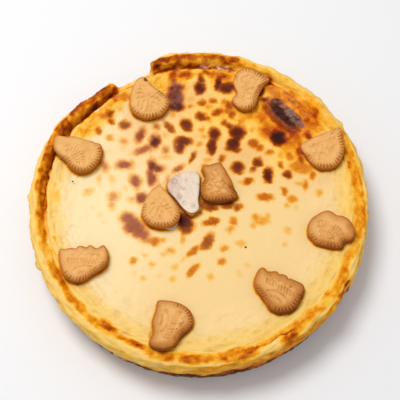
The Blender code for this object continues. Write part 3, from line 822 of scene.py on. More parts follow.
PALE = tuple(Band(*values) for values in (
    (290, 297.5, 122.4, 128, 0.9), (86, 93, 99, 108, 0.7), (62, 72, 124.5, 131, 0.6),
    (30, 60, 125.8, 131, 0.5), (46, 60, 117.5, 126, 0.3), (200, 204, 112, 131, 0.4),
    (225, 230, 112, 131, 0.3), (332, 344, 125.5, 131, 0.5), (0, 13, 126.6, 131, 0.5),
    (72, 108, 125.2, 131, 0.55),
))
GLOWS = tuple(Spot(*values) for values in (
    (20, 106, 40, 10, -6, 0.3), (76, 80, 32, 13, -42, 0.36), (72, 50, 20, 15, 60, 0.2),
    (50, 68, 18, 14, -30, 0.1), (24, 80, 22, 14, 0, 0.16), (-22, 101, 15, 11, 30, 0.26),
    (-82, 70, 24, 9, 48, 0.33), (-26, 52, 34, 26, 0, 0.06), (26, 44, 28, 24, 0, 0.04),
    (10, 68, 26, 18, 0, 0.09), (64, 24, 24, 14, 0, 0.08), (-60, 92, 12, 8, 45, 0.22),
    (-106, 28, 9, 26, 14, 0.1), (-104, -20, 8, 20, -8, 0.07), (4, -6, 22, 14, 0, 0.1),
    (56, 62, 10, 5, -42, 0.12), (58, 65, 24, 9, -45, 0.2), (80, 42, 18, 10, -58, 0.32),
    (48, 76, 13, 8, -40, 0.1), (88, 62, 10, 6, -60, 0.26), (50, 56, 13, 9, -20, 0.12),
    (30, 76, 12, 10, 0, 0.1),
))
CRACKS = tuple(Band(*values) for values in (
    (275, 300, 120.6, 121.6, 0.8), (298, 305.5, 121.2, 122.4, 0.55), (322, 331.5, 127.6, 129.0, 0.6),
))
# Stretches of the rim painted pale: partly painted highlight where the wet rim sparkles, partly the pale torn
# edge of the skin.
GLINTS = tuple(Band(*values) for values in (
    (77, 89, 114.6, 117.4, 0.9), (96, 99, 113, 115, 0.7), (133.5, 141, 110.6, 111.8, 0.9),
    (121, 126, 110.2, 111.2, 0.8), (113, 116, 115.6, 116.6, 0.8), (292, 298, 122, 124, 0.4),
))
MOTTLED = Spot(79, 85, 24, 8.5, -42, 1)
# Places of painted sheen: a greyish reflection painted on the burnt places.
SHEENS = tuple(Spot(*values) for values in (
    (74.5, 71.5, 13.5, 3.6, -50, 1), (64, 83, 6, 2.6, -35, 0.7), (-18, 90, 5, 9, 0, 0.44),
))
# Places where the stains are greyish pink: partly their own colour, partly painted sheen of the light from
# the left.
PINK_SHEEN_PLACES = tuple(Spot(*values) for values in (
    (72, 79, 23, 13, -44, 1), (-48, 16, 34, 52, -8, 1), (-19, 92, 9, 15, 0, 1),
))


# Patterns of the baked skin

SPOT_SHIFTS = (Bumps(3.6, 11, 1.7), Bumps(3.6, 12, 1.7))
RIM_WANDER = Bumps(7.0, 18, 2.2)
TURN_WANDER = Bumps(6.0, 13, 1.8)
BLOTCHES = Bumps(4.4, 14, 0.45)
GLOW_CLOUDS = Bumps(5.4, 15, 0.45)
HALO_CLOUDS = Bumps(3.0, 17, 0.4, 2)
RIM_CLOUDS = Bumps(8.0, 16, 0.8)
WALL_CLOUDS = Bumps(7.0, 19, 0.6, 3, (1.0, 1.0, 2.0))
FRECKLES = Bumps(2.6, 20, 0.26)
STREAKS = Bumps(2.0, 21)
DOTS = Bumps(1.5, 22, layers=2)
MOTTLES = Bumps(2.2, 23, layers=2)
SWELLS = Bumps(12.0, 1, 0.22)
WRINKLES = Bumps(5.0, 2, 2.2)
PITS = Bumps(4.2, 3, 0.7)
LUMPS = Bumps(5.2, 4, 1.1)
LEDGES = Bumps(9.0, 5, 2.1, 4, (1.0, 1.0, 3.4))
HOLES = Bumps(3.6, 6, 1.1, 2, (0.8, 0.8, 1.8))
SHREDS = Bumps(3.4, 7, 1.2, 4)


@dataclass
class Filling:
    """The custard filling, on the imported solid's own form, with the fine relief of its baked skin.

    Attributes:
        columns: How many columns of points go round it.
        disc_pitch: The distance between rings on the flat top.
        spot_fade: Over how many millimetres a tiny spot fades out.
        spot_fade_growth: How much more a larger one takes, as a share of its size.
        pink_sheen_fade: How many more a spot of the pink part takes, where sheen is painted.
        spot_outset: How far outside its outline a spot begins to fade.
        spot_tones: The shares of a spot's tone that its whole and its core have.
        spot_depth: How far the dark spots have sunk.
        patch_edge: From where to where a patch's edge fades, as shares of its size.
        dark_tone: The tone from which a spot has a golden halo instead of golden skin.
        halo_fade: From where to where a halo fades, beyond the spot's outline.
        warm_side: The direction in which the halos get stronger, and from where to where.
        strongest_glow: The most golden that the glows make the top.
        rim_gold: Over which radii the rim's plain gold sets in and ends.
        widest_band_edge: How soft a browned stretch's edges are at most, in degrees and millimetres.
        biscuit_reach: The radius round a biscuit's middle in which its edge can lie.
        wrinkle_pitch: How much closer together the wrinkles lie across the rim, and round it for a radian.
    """

    columns: int = 600
    disc_pitch: float = 1.12
    spot_fade: float = 1.6
    spot_fade_growth: float = 0.15
    pink_sheen_fade: float = 1.2
    spot_outset: float = 0.3
    spot_tones: tuple[float, float] = (0.85, 0.17)
    spot_depth: float = 0.5
    patch_edge: tuple[float, float] = (1.2, 0.8)
    dark_tone: float = 0.62
    light_spot_gold: float = 0.42
    halo_gold: float = 0.2
    halo_fade: tuple[float, float] = (4.6, 0.4)
    warm_side: tuple[float, float, float, float] = (0.6, -0.5, -55.0, -12.0)
    strongest_glow: float = 0.55
    base_gold: float = 0.34
    rim_gold: tuple[tuple[float, float], tuple[float, float]] = ((115.5, 119.5), (126.8, 122.5))
    widest_band_edge: tuple[float, float] = (2.2, 1.9)
    # Painted contact shadow round the biscuits, warm brown, with browning from their butter.
    biscuit_contact_shade: float = 0.54
    biscuit_contact_shade_width: float = 3.0
    biscuit_reach: float = 26.0
    wrinkle_pitch: tuple[float, float] = (1.6, 50.4)
    hidden_radius: float = 14.0
    top_height: float = 39.0
    slope_start: float = 84.0
    slope_rise: float = 4.4
    creased_loss: float = 0.45
    slope_end: float = 1.4
    foot_radius: float = 126.4
    torn_foot_spread: float = 4.0
    floor: float = 6.3
    shoulder_drop: float = 8.0
    wall_bow: float = 1.6
    slope_shares: tuple[float, ...] = (0.0, 0.28, 0.54, 0.78, 1.0)
    crease_side: tuple[float, float] = (0.14, 0.35)
    lip_shape: tuple[tuple[float, float], ...] = ((0.34, 0.8), (0.55, 0.0), (0.80, 1.3), (0.96, 4.2))
    wall_shares: tuple[float, ...] = (0.0, 0.2, 0.4, 0.6, 0.8, 1.0)
    steps: tuple[int, ...] = (9, 9, 9, 9, 4, 3, 4, 4, 5, 5, 4, 4, 4, 4, 4, 4)
    break_edges: tuple[float, float] = (108.75, 124.25)
    top_unevenness: float = 0.8
    top_grain: float = 9.0
    wall_unevenness: float = 1.7
    torn_unevenness: float = 3.0
    wall_grain: float = 11.0
    wall_flattening: float = 2.4

    def rim(self, angles: np.ndarray) -> np.ndarray:
        """The rim, eased between its stations.

        Args:
            angles: Degrees from +X.

        Returns:
            Its radius, crest, crease and depth, each by angle.
        """
        turns = np.array([station.angle for station in RIM] + [360.0])
        values = np.array([[s.radius, s.crest, s.crease, s.depth] for s in (*RIM, RIM[0])])
        after = np.searchsorted(turns, angles, side="right")
        share = ease((angles - turns[after - 1]) / (turns[after] - turns[after - 1]))[:, None]
        return (values[after - 1] + (values[after] - values[after - 1]) * share).T

    def sections(self, angles: np.ndarray) -> np.ndarray:
        """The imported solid's section at each angle.

        Args:
            angles: Degrees from +X.

        Returns:
            Radius and height, by point along the section, by angle.
        """
        radius, crest, crease, depth = self.rim(angles)
        depth = depth * rise(depth, 0.2, 1.8)
        lip = radius - crease
        rising = self.slope_rise - self.creased_loss * depth
        foot = np.minimum(radius + self.torn_foot_spread, self.foot_radius)
        shoulder = crest - self.shoulder_drop
        slope = [(self.slope_start + share * (crease - self.slope_end - self.slope_start),
                  self.top_height + float(ease(np.array(share))) * rising) for share in self.slope_shares]
        across, sunk = self.crease_side
        fold = [(crease, self.top_height + rising - depth),
                (crease + across * lip, self.top_height + rising - sunk * depth)]
        edge = [(crease + share * lip, crest - drop) for share, drop in self.lip_shape]
        wall = [(radius + share ** self.wall_bow * (foot - radius),
                 shoulder + share * (self.floor - shoulder)) for share in self.wall_shares]
        return np.array([[np.broadcast_to(part, angles.shape) for part in point]
                         for point in slope + fold + edge + wall]).transpose(0, 2, 1)

    def along(self, section: np.ndarray) -> np.ndarray:
        """Points along a smooth curve through a section's own points.

        Args:
            section: The section's points, each by angle.

        Returns:
            The curve's points, with the set number of steps between each two of the section's.
        """
        spans = np.maximum(np.linalg.norm(np.diff(section, axis=0), axis=-1, keepdims=True), 1e-6)
        speeds = np.diff(section, axis=0) / spans
        inner = (speeds[:-1] * spans[1:] + speeds[1:] * spans[:-1]) / (spans[:-1] + spans[1:])
        tangents = np.concatenate([speeds[:1], inner, speeds[-1:]])
        rows = []
        for k, steps in enumerate(self.steps):
            for share in np.arange(steps) / steps:
                cubic = share ** 3
                square = share ** 2
                rows.append((2 * cubic - 3 * square + 1) * section[k]
                            + (cubic - 2 * square + share) * spans[k] * tangents[k]
                            + (3 * square - 2 * cubic) * section[k + 1]
                            + (cubic - square) * spans[k] * tangents[k + 1])
        return np.array(rows + [section[-1]])

    def profile(self, angles: np.ndarray) -> tuple[np.ndarray, int]:
        """The whole surface from the middle of the top to the foot of the wall.

        Args:
            angles: Degrees from +X.

        Returns:
            Radius and height by ring and angle, and the number of the wall's first ring.
        """
        curve = self.along(self.sections(angles))
        near = np.linspace(self.hidden_radius / 4, self.hidden_radius, 4, endpoint=False)
        far = np.arange(self.hidden_radius, self.slope_start - self.disc_pitch / 2, self.disc_pitch)
        radii = np.concatenate([near, far])
        disc = np.zeros((len(radii), len(angles), 2))
        disc[..., 0] = radii[:, None]
        disc[..., 1] = self.top_height
        under = curve[-1] * (0.5, 1.0)
        wall_start = len(radii) + sum(self.steps[:10])
        return np.concatenate([disc, curve, under[None]]), wall_start

    def baked(self, profile: np.ndarray, angles: np.ndarray, wall_start: int) -> np.ndarray:
        """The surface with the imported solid's own baked unevenness.

        Args:
            profile: Radius and height by ring and angle.
            angles: Degrees from +X.
            wall_start: The number of the wall's first ring.

        Returns:
            Points by ring and column, in millimetres.
        """
        turn = np.radians(angles)
        outward = np.stack([np.cos(turn), np.sin(turn)], axis=-1)
        rings = np.concatenate([profile[..., :1] * outward, profile[..., 1:]], axis=-1)
        top = rings[:wall_start]
        flat = top * (1.0, 1.0, 0.0)
        out = rise(profile[:wall_start, :, 0], self.slope_start, self.slope_start + 8.0)
        top[..., 2] += out * unevenness(flat, self.top_unevenness, self.top_grain)
        wall = rings[wall_start:-1]
        torn = (angles > self.break_edges[0]) & (angles < self.break_edges[1])
        amount = np.where(torn, self.torn_unevenness, self.wall_unevenness)
        swell = unevenness(wall * (1.0, 1.0, self.wall_flattening), 1.0, self.wall_grain) * amount
        swell *= rise(wall[..., 2], self.floor, self.floor + 3.0)
        wall[..., :2] += swell[..., None] * outward
        return rings

    @staticmethod
    def bent(points: np.ndarray) -> tuple[np.ndarray, np.ndarray]:
        """Each point's x and y, shifted a little so that the spots get uneven edges."""
        return tuple(points[..., axis] + shift.at(points) for axis, shift in enumerate(SPOT_SHIFTS))

    @staticmethod
    def reach(spot: Spot, x: np.ndarray, y: np.ndarray) -> np.ndarray:
        """How far out of a spot's middle places are, as a share of its size."""
        along, across = turned_by(x - spot.x, y - spot.y, spot.tilt)
        return np.hypot(along / spot.length, across / spot.width)

    def pink_sheen_share(self, x: np.ndarray, y: np.ndarray) -> np.ndarray:
        """How greyish pink the stain is at places of the top, from 0 for orange to 1: partly its own colour,
        partly painted sheen.
        """
        return np.max([rise(self.reach(spot, x, y), *self.patch_edge) for spot in PINK_SHEEN_PLACES], axis=0)

    def toast(self, points: np.ndarray, bent: tuple[np.ndarray, np.ndarray]) -> np.ndarray:
        """How deep the spots' stain is, with the painted shadow that some spots beside the biscuits stand
        for.

        Args:
            points: Points of the filling.
            bent: Their shifted x and y.

        Returns:
            A value for each point, from 0 for none to 1 for nearly black.
        """
        toast = np.zeros(points.shape[:-1])
        for spot in SPOTS:
            size = math.sqrt(spot.length * spot.width)
            beyond = (self.reach(spot, *bent) - 1.0) * size
            fade = self.spot_fade + self.spot_fade_growth * size
            fade += self.pink_sheen_fade * float(self.pink_sheen_share(spot.x, spot.y))
            tone = self.spot_tones[0] * rise(beyond - self.spot_outset, fade, 0.6 - fade)
            tone += self.spot_tones[1] * rise(beyond, 0.0, -1.0 - 0.5 * size)
            toast = np.maximum(toast, spot.tone * tone)
        broken = rise(self.reach(MOTTLED, *bent), *self.patch_edge) * MOTTLES.above(points, 0.35, -0.45)
        return toast * (1.0 - 0.6 * broken)

    def inside(self, band: Band, radius: np.ndarray, turned: np.ndarray) -> np.ndarray:
        """How far inside a stretch of the rim points are.

        Args:
            band: The stretch.
            radius: Each point's radius.
            turned: Each point's angle, or each column's.

        Returns:
            A value for each point, from 0 outside the stretch to 1 inside it.
        """
        middle = (band.start + band.end) / 2
        half = (band.end - band.start) / 2
        off = np.abs((turned - middle + 180.0) % 360.0 - 180.0) - half
        turn_edge = min(self.widest_band_edge[0], 0.6 * half + 0.6)
        edge = min(self.widest_band_edge[1], 0.35 * (band.outer - band.inner) + 0.35)
        up = (band.inner - edge, band.inner + edge)
        down = (band.outer + edge, band.outer - edge)
        return rise(off, turn_edge, -turn_edge) * plateau(radius, up, down)

    def glow(self, points: np.ndarray, bent: tuple[np.ndarray, np.ndarray]) -> np.ndarray:
        """How golden the top is between and round its spots.

        Args:
            points: Points of the filling.
            bent: Their shifted x and y.

        Returns:
            A value for each point, from 0 for cream.
        """
        x, y = points[..., 0], points[..., 1]
        glow = sum(spot.tone * bell(self.reach(spot, x, y)) for spot in GLOWS)
        glow = np.clip(glow, 0.0, self.strongest_glow) * (0.9 + GLOW_CLOUDS.at(points))
        to_right, to_back, start, end = self.warm_side
        spread = rise(x * to_right + y * to_back, start, end) * (0.9 + HALO_CLOUDS.at(points))
        for spot in SPOTS:
            beyond = (self.reach(spot, *bent) - 1.0) * math.sqrt(spot.length * spot.width)
            if spot.tone > self.dark_tone:
                halo = self.halo_gold * (spot.tone - 0.25) * rise(beyond, *self.halo_fade) * spread
            else:
                halo = self.light_spot_gold * spot.tone * rise(beyond, 1.8, -1.2)
                halo *= 1.0 - float(self.pink_sheen_share(spot.x, spot.y))
            glow = np.maximum(glow, halo)
        return glow

    def golden(self, points: np.ndarray, angles: np.ndarray,
               bent: tuple[np.ndarray, np.ndarray]) -> np.ndarray:
        """How golden the baked skin of the top and the rim is.

        Args:
            points: Points by ring and column.
            angles: Each column's angle.
            bent: The points' shifted x and y.

        Returns:
            A value for each point, from 0 for cream to 1 for nearly black.
        """
        radius = np.hypot(points[..., 0], points[..., 1]) + RIM_WANDER.at(points)
        turned = angles + TURN_WANDER.at(points)
        blotchy = 0.95 + BLOTCHES.at(points)
        golden = self.base_gold * plateau(radius, *self.rim_gold) * (0.9 + RIM_CLOUDS.at(points))
        golden = np.maximum(golden, self.glow(points, bent))
        for band in BANDS:
            golden = np.maximum(golden, band.tone * blotchy * self.inside(band, radius, turned))
        golden *= 1.0 + FRECKLES.at(points)
        for band in PALE:
            golden *= 1.0 - band.tone * self.inside(band, radius, turned)
        # Painted contact shadow: a warm brown border round each biscuit, partly browning from its butter.
        return np.maximum(golden, self.biscuit_contact_shade * self.near_biscuits(points) * blotchy)

    def near_biscuits(self, points: np.ndarray) -> np.ndarray:
        """How close points are to the biscuits that lie on the top, for their painted contact shadow.

        Args:
            points: Points by ring and column.

        Returns:
            A value for each point, from 0 far away to 1 beside a biscuit.
        """
        close = np.zeros(points.shape[:-1])
        for biscuit in BISCUITS:
            seat = Seat.of(biscuit.node)
            outline = seat.placed(lifted(seat.outline))[:, :2]
            away = np.linalg.norm(points[..., :2] - outline.mean(axis=0), axis=-1)
            near = away < self.biscuit_reach
            least = np.linalg.norm(points[near][:, None, :2] - outline[None], axis=-1).min(axis=1)
            close[near] = np.maximum(close[near], rise(least, self.biscuit_contact_shade_width, 0.3))
        return close

    def relieved(self, rings: np.ndarray, angles: np.ndarray, wall: int,
                 toast: np.ndarray) -> tuple[np.ndarray, np.ndarray]:
        """The rings with the fine relief of the skin and the torn wall.

        Args:
            rings: Points by ring and column.
            angles: Each column's angle.
            wall: The wall's first ring.
            toast: How browned each point is.

        Returns:
            The moved points, and how far each was moved.
        """
        radius = np.hypot(rings[..., 0], rings[..., 1])
        on_top = rise(np.arange(len(rings))[:, None], wall - 2.0, wall - 9.0)
        wavy = radius + RIM_WANDER.at(rings)
        across, round_it = self.wrinkle_pitch
        turned = np.broadcast_to(np.radians(angles) * round_it, radius.shape)
        wound = np.stack([radius * across, turned, rings[..., 2]], axis=-1)
        wrinkled = (0.5 - np.abs(WRINKLES.at(wound))) * 0.8
        sloping = rise(radius, 82.0, 100.0) * on_top
        lip = rise(radius, 115.0, 121.0) * on_top
        torn = plateau(angles, (107.0, 109.5), (126.0, 123.5)) * rise(radius, 108.0, 113.0)
        moved = SWELLS.at(rings) + sloping * (wrinkled - PITS.above(rings, 0.1, 0.6)) + lip * LUMPS.at(rings)
        for crack in CRACKS:
            moved -= crack.tone * self.inside(crack, wavy, angles) * on_top
        moved -= self.spot_depth * rise(toast, 0.15, 0.7) * on_top * (1.0 - sloping * 0.5)
        moved = moved * on_top + (1.0 - on_top) * (LEDGES.at(rings) - HOLES.above(rings, 0.34, 0.66))
        moved += torn * SHREDS.at(rings)
        moved *= rise(rings[..., 2], self.floor, self.floor + 1.6)
        moved[-2:] = 0.0
        return rings + normals_of(rings) * moved[..., None], moved

    @staticmethod
    def wall_gold_and_shade(rings: np.ndarray, angles: np.ndarray) -> np.ndarray:
        """How golden the wall is, which is most at its foot, at its front and on its right side: partly
        browning, partly painted shade away from the light.

        Args:
            rings: Points by ring and column.
            angles: Each column's angle.

        Returns:
            A value for each point, from 0 for cream.
        """
        facing = rise(rings[..., 1], 20.0, -90.0)
        # Painted shade: the right side and the foot of the wall are made browner where shade falls, as well
        # as browned.
        brown = rise(angles, 254.0, 274.0) * (1.0 - 0.5 * rise(angles, 312.0, 332.0))
        brown += 0.5 * rise(angles, 40.0, 15.0)
        low = rise(rings[..., 2], 34.0, 8.0) * (0.18 + 0.12 * facing + 0.24 * brown)
        return (0.15 + 0.05 * facing + 0.22 * brown + low) * (0.8 + WALL_CLOUDS.at(rings))

    def tints(self, rings: np.ndarray, angles: np.ndarray, toast: np.ndarray,
              golden: np.ndarray) -> dict[str, np.ndarray]:
        """The values that tint the custard.

        Args:
            rings: Points by ring and column, with their relief.
            angles: Each column's angle.
            toast: How deep the spots' stain is at each point.
            golden: How golden each point is.

        Returns:
            Values for each point, by name.
        """
        x, y = rings[..., 0], rings[..., 1]
        radius = np.hypot(x, y)
        # Duller towards the back and the back left.
        aged = 0.58 * rise(y, -5.0, 62.0) * rise(x, -78.0, -48.0)
        aged += 0.72 * rise(x + 0.6 * y, 4.0, 66.0) * rise(y, -4.0, 48.0)
        # Painted sheen on the burnt places.
        veil = sum(spot.tone * rise(self.reach(spot, x, y), 1.25, 0.6) for spot in SHEENS)
        wavy = radius + RIM_WANDER.at(rings)
        glint = sum(band.tone * self.inside(band, wavy, angles) for band in GLINTS)
        glossy = plateau(radius, (110.0, 113.0), (120.0, 117.0))
        glossy = glossy * plateau(angles, (70.0, 76.0), (102.0, 97.0))
        return {
            "toast": toast,
            "golden": golden,
            "orange": 1.0 - self.pink_sheen_share(x, y) * rise(toast, 0.14, 0.4),
            "aged": aged * rise(radius, 118.0, 96.0),
            "glint": np.clip(glint, 0.0, 1.0) * DOTS.above(rings, 0.0, 0.3),
            # Yellower towards the right and front: partly the custard's own colour, partly painted shade away
            # from the light on the left.
            "yolk": rise(x * 0.75 - y * 0.45, -60.0, 42.0),
            "veil": 0.85 * veil * STREAKS.above(rings, -0.5, 0.35) * rise(toast, 0.3, 0.7),
            "gloss": glossy * rise(golden, 0.3, 0.55),
        }

    @staticmethod
    def textures(rings: np.ndarray, angles: np.ndarray, wall: int,
                 moved: np.ndarray) -> dict[str, np.ndarray]:
        """The values that tell where the skin has broken open.

        Args:
            rings: Points by ring and column, with their relief.
            angles: Each column's angle.
            wall: The wall's first ring.
            moved: How far the relief moved each point.

        Returns:
            Values for each point, by name.
        """
        radius = np.hypot(rings[..., 0], rings[..., 1])
        on_wall = rise(np.arange(len(rings))[:, None], wall - 5.0, wall - 1.0)
        torn = plateau(angles, (107.5, 109.5), (125.5, 123.5)) * rise(radius, 110.0, 114.0)
        return {
            "porous": rise(radius, 95.0, 114.0) * 0.9,
            "wall": np.clip(on_wall + torn, 0.0, 1.0),
            # The hollow values darken the colour of the pores and hollows, as painted shade.
            "hollow": np.where(on_wall > 0.5, rise(-moved, -0.4, 1.5), rise(-moved, -0.5, 0.9)),
        }

    def build(self) -> bpy.types.Object:
        """Makes the filling and dresses it.

        Returns:
            The object.
        """
        angles = np.arange(self.columns) * 360.0 / self.columns
        profile, wall = self.profile(angles)
        rings = self.baked(profile, angles, wall)
        bent = self.bent(rings)
        toast = self.toast(rings, bent)
        golden = self.golden(rings, angles, bent)
        golden *= 1.0 - 0.8 * self.pink_sheen_share(rings[..., 0], rings[..., 1]) * rise(toast, 0.3, 0.6)
        golden[wall - 4:] = np.maximum(golden, self.wall_gold_and_shade(rings, angles))[wall - 4:]
        toast[wall + 2:] = 0.0
        rings, moved = self.relieved(rings, angles, wall, toast)
        masks = self.tints(rings, angles, toast, golden) | self.textures(rings, angles, wall, moved)
        skin = Skin("baked_filling", rings[::-1], {name: values[::-1] for name, values in masks.items()})
        made = skin.build(Custard().material())
        ride(made, "custard", "filling")
        return made


@dataclass
class CrumbBase:
    """The thin crumb base, with its crumbly edge."""

    columns: int = 720
    radius: float = 128.0
    thickness: float = 6.0
    rounding: float = 1.2
    roughness: float = 0.9
    size: float = 4.0
    hidden_edge: float = 6.0
    crumbs: Bumps = Bumps(1.6, 31, 0.35)

    def build(self) -> bpy.types.Object:
        """Makes the base and dresses it.

        Returns:
            The object.
        """
        turn = np.radians(np.arange(self.columns) * 360.0 / self.columns)
        corner = np.radians(np.linspace(-90.0, 0.0, 5))
        low = [(self.radius - self.rounding * (1 - math.cos(a)), self.rounding * (1 + math.sin(a)))
               for a in corner]
        side = [(self.radius, h) for h in np.linspace(self.rounding, self.thickness - self.rounding, 7)[1:-1]]
        high = [(r, self.thickness - h) for r, h in reversed(low)]
        inner = self.radius - self.hidden_edge
        profile = [(inner, 0.0)] + low + side + high + [(inner, self.thickness)]
        rings = np.array([[[r * math.cos(t), r * math.sin(t), h] for t in turn] for r, h in profile])
        outer = np.array([r > inner for r, _ in profile])[:, None]
        swell = unevenness(rings, self.roughness, self.size) + self.crumbs.at(rings)
        rings[..., :2] *= (1.0 + swell * outer / self.radius)[..., None]
        made = Skin("crumb_crust", rings).build(CrumbCrust().material())
        ride(made, "crumb", "crumb_base")
        return made


# Biscuits

FLATNESS = 0.12


@dataclass(frozen=True)
class Seat:
    """Where a flat-bottomed solid lies, and its outline there.

    Attributes:
        matrix: Its place, with +Z up out of its flat bottom, in millimetres.
        outline: The flat side's points round its middle, x and y in millimetres, anticlockwise.
        thickness: Its height above its bottom.
    """

    matrix: Matrix
    outline: np.ndarray
    thickness: float

    @classmethod
    def of(cls, node: str) -> "Seat":
        """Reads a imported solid's seat from its two flat sides.

        Args:
            node: The node's name.

        Returns:
            The seat, with the outline of the larger side.
        """
        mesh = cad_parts[node].data
        points = np.empty(len(mesh.vertices) * 3)
        mesh.vertices.foreach_get("co", points)
        points = points.reshape(-1, 3) / MM
        flats: dict[tuple[float, ...], Vector] = defaultdict(Vector)
        for face in mesh.polygons:
            flats[tuple(round(v, 2) for v in face.normal)] += face.normal * face.area
        up = max(flats.values(), key=lambda total: total.length).normalized()
        up = -up if up.z < 0 else up
        turn = Vector((0.0, 0.0, 1.0)).rotation_difference(up).to_matrix()
        local = points @ np.array(turn)
        heights = local[:, 2]
        bottom, top = heights.min(), heights.max()
        sides = [np.unique(np.round(local[np.abs(heights - level) < FLATNESS, :2], 2), axis=0)
                 for level in (bottom, top)]
        ring = max(sides, key=lambda side: np.ptp(side, axis=0).sum())
        middle = (ring.min(axis=0) + ring.max(axis=0)) / 2
        ring = ring - middle
        ring = ring[np.argsort(np.arctan2(ring[:, 1], ring[:, 0]))]
        place = turn @ Vector((*middle, bottom))
        return cls(Matrix.Translation(place) @ turn.to_4x4(), ring, top - bottom)

    def placed(self, rings: np.ndarray) -> np.ndarray:
        """Rings of points in the seat's own frame, put in their place on the cake."""
        flat = rings.reshape(-1, 3) @ np.array(self.matrix.to_3x3()).T + np.array(self.matrix.translation)
        return flat.reshape(rings.shape)


def even_ring(ring: np.ndarray, count: int, outwards: float) -> tuple[np.ndarray, np.ndarray]:
    """Evenly spaced points along a closed line moved outwards.

    Args:
        ring: The line's own points.
        count: How many points to make.
        outwards: How far outwards they go.

    Returns:
        The points, and the outward direction at each.
    """
    closed = np.vstack([ring, ring[:1]])
    run = np.concatenate([[0.0], np.cumsum(np.linalg.norm(np.diff(closed, axis=0), axis=1))])
    at = np.arange(count) * run[-1] / count
    spaced = np.stack([np.interp(at, run, closed[:, axis]) for axis in (0, 1)], axis=1)
    spaced = sum(np.roll(spaced, shift, axis=0) for shift in range(-2, 3)) / 5
    along = np.roll(spaced, -3, axis=0) - np.roll(spaced, 3, axis=0)
    outward = np.stack([along[:, 1], -along[:, 0]], axis=1)
    outward /= np.linalg.norm(outward, axis=1, keepdims=True)
    return spaced + outward * outwards, outward


class Motif(Enum):
    """The plain stamped designs that a biscuit's face may carry."""

    FAN = "fan"
    RIPPLE = "ripple"
    DASHES = "dashes"
    CRESTS = "crests"


@dataclass(frozen=True)
class Stroke:
    """A stamped groove: part of a ring about a point, or a straight line where its bend is 0.

    Attributes:
        x: The middle of the ring, or the line's first end.
        y: The same along the other axis.
        reach: The ring's radius, or the line's length.
        start: The ring's first angle, or the line's direction, in degrees.
        sweep: How far round the ring it goes, or 0 for a line.
    """

    x: float
    y: float
    reach: float
    start: float
    sweep: float

    def away(self, x: np.ndarray, y: np.ndarray) -> np.ndarray:
        """How far places are from the groove's middle line.

        Args:
            x: The places' x on the face.
            y: Their y.

        Returns:
            The distance for each place.
        """
        x, y = x - self.x, y - self.y
        if self.sweep == 0:
            along, across = turned_by(x, y, self.start)
            return np.hypot(along - np.clip(along, 0.0, self.reach), across)
        off = (np.degrees(np.arctan2(y, x)) - self.start) % 360.0
        past = np.maximum(0.0, np.minimum(off - self.sweep, 360.0 - off))
        past = np.where(off <= self.sweep, 0.0, past)
        return np.hypot(np.hypot(x, y) - self.reach, np.radians(past) * self.reach)


def spoke(x: float, y: float, reach: float, turn: float, length: float, lean: float = 0.0) -> Stroke:
    """A short line on a ray from a middle.

    Args:
        x: The middle.
        y: The same along the other axis.
        reach: How far out the line starts.
        turn: The ray's direction, in degrees.
        length: The line's length.
        lean: How far the line leans off the ray, in degrees.

    Returns:
        The stroke.
    """
    along = math.radians(turn)
    return Stroke(x + reach * math.cos(along), y + reach * math.sin(along), length, turn + lean, 0.0)


FAN = [Stroke(-9.0, -8.0, reach, 0.0, 88.0) for reach in (4.5, 8.5, 12.5, 16.5)]
FAN += [spoke(-9.0, -8.0, reach, 8.0 + gap * k, 2.2)
        for reach, gap, count in ((5.4, 18.0, 5), (9.4, 12.0, 7), (13.4, 9.0, 9)) for k in range(count)]
RIPPLE = [Stroke(-11.0 + 4.4 * k, row, 2.2, 180.0 * (k % 2), 180.0)
          for row in (-6.0, 0.0, 6.0) for k in range(6)]
RIPPLE += [Stroke(-11.5 + 3.1 * k, row, 1.6, 62.0, 0.0) for row in (-3.8, 2.3) for k in range(8)]
DASHES = [spoke(0.0, 0.5, reach, 360.0 / count * k + 9.0 * reach, 2.2, 28.0)
          for reach, count in ((1.6, 4), (4.8, 9), (8.2, 14), (11.6, 19)) for k in range(count)]
CRESTS = [Stroke(-9.6 + 4.8 * k, 5.6 - 0.3 * k, 2.4, 12.0, 156.0) for k in range(5)]
CRESTS += [Stroke(-11.0 + 2.4 * k, 3.6 - 0.15 * k, 3.4, -72.0, 0.0) for k in range(10)]
CRESTS += [Stroke(1.0, -15.0, 12.6, 38.0, 104.0), Stroke(1.0, -15.0, 8.0, 52.0, 76.0)]
MOTIFS = {Motif.FAN: FAN, Motif.RIPPLE: RIPPLE, Motif.DASHES: DASHES, Motif.CRESTS: CRESTS}
WEAR = Bumps(3.4, 61, 0.9, 2)
# Painted shade: the side of each biscuit that is made darker, away from the light from the upper left.
SHADED_SIDE = (0.55, -0.83)


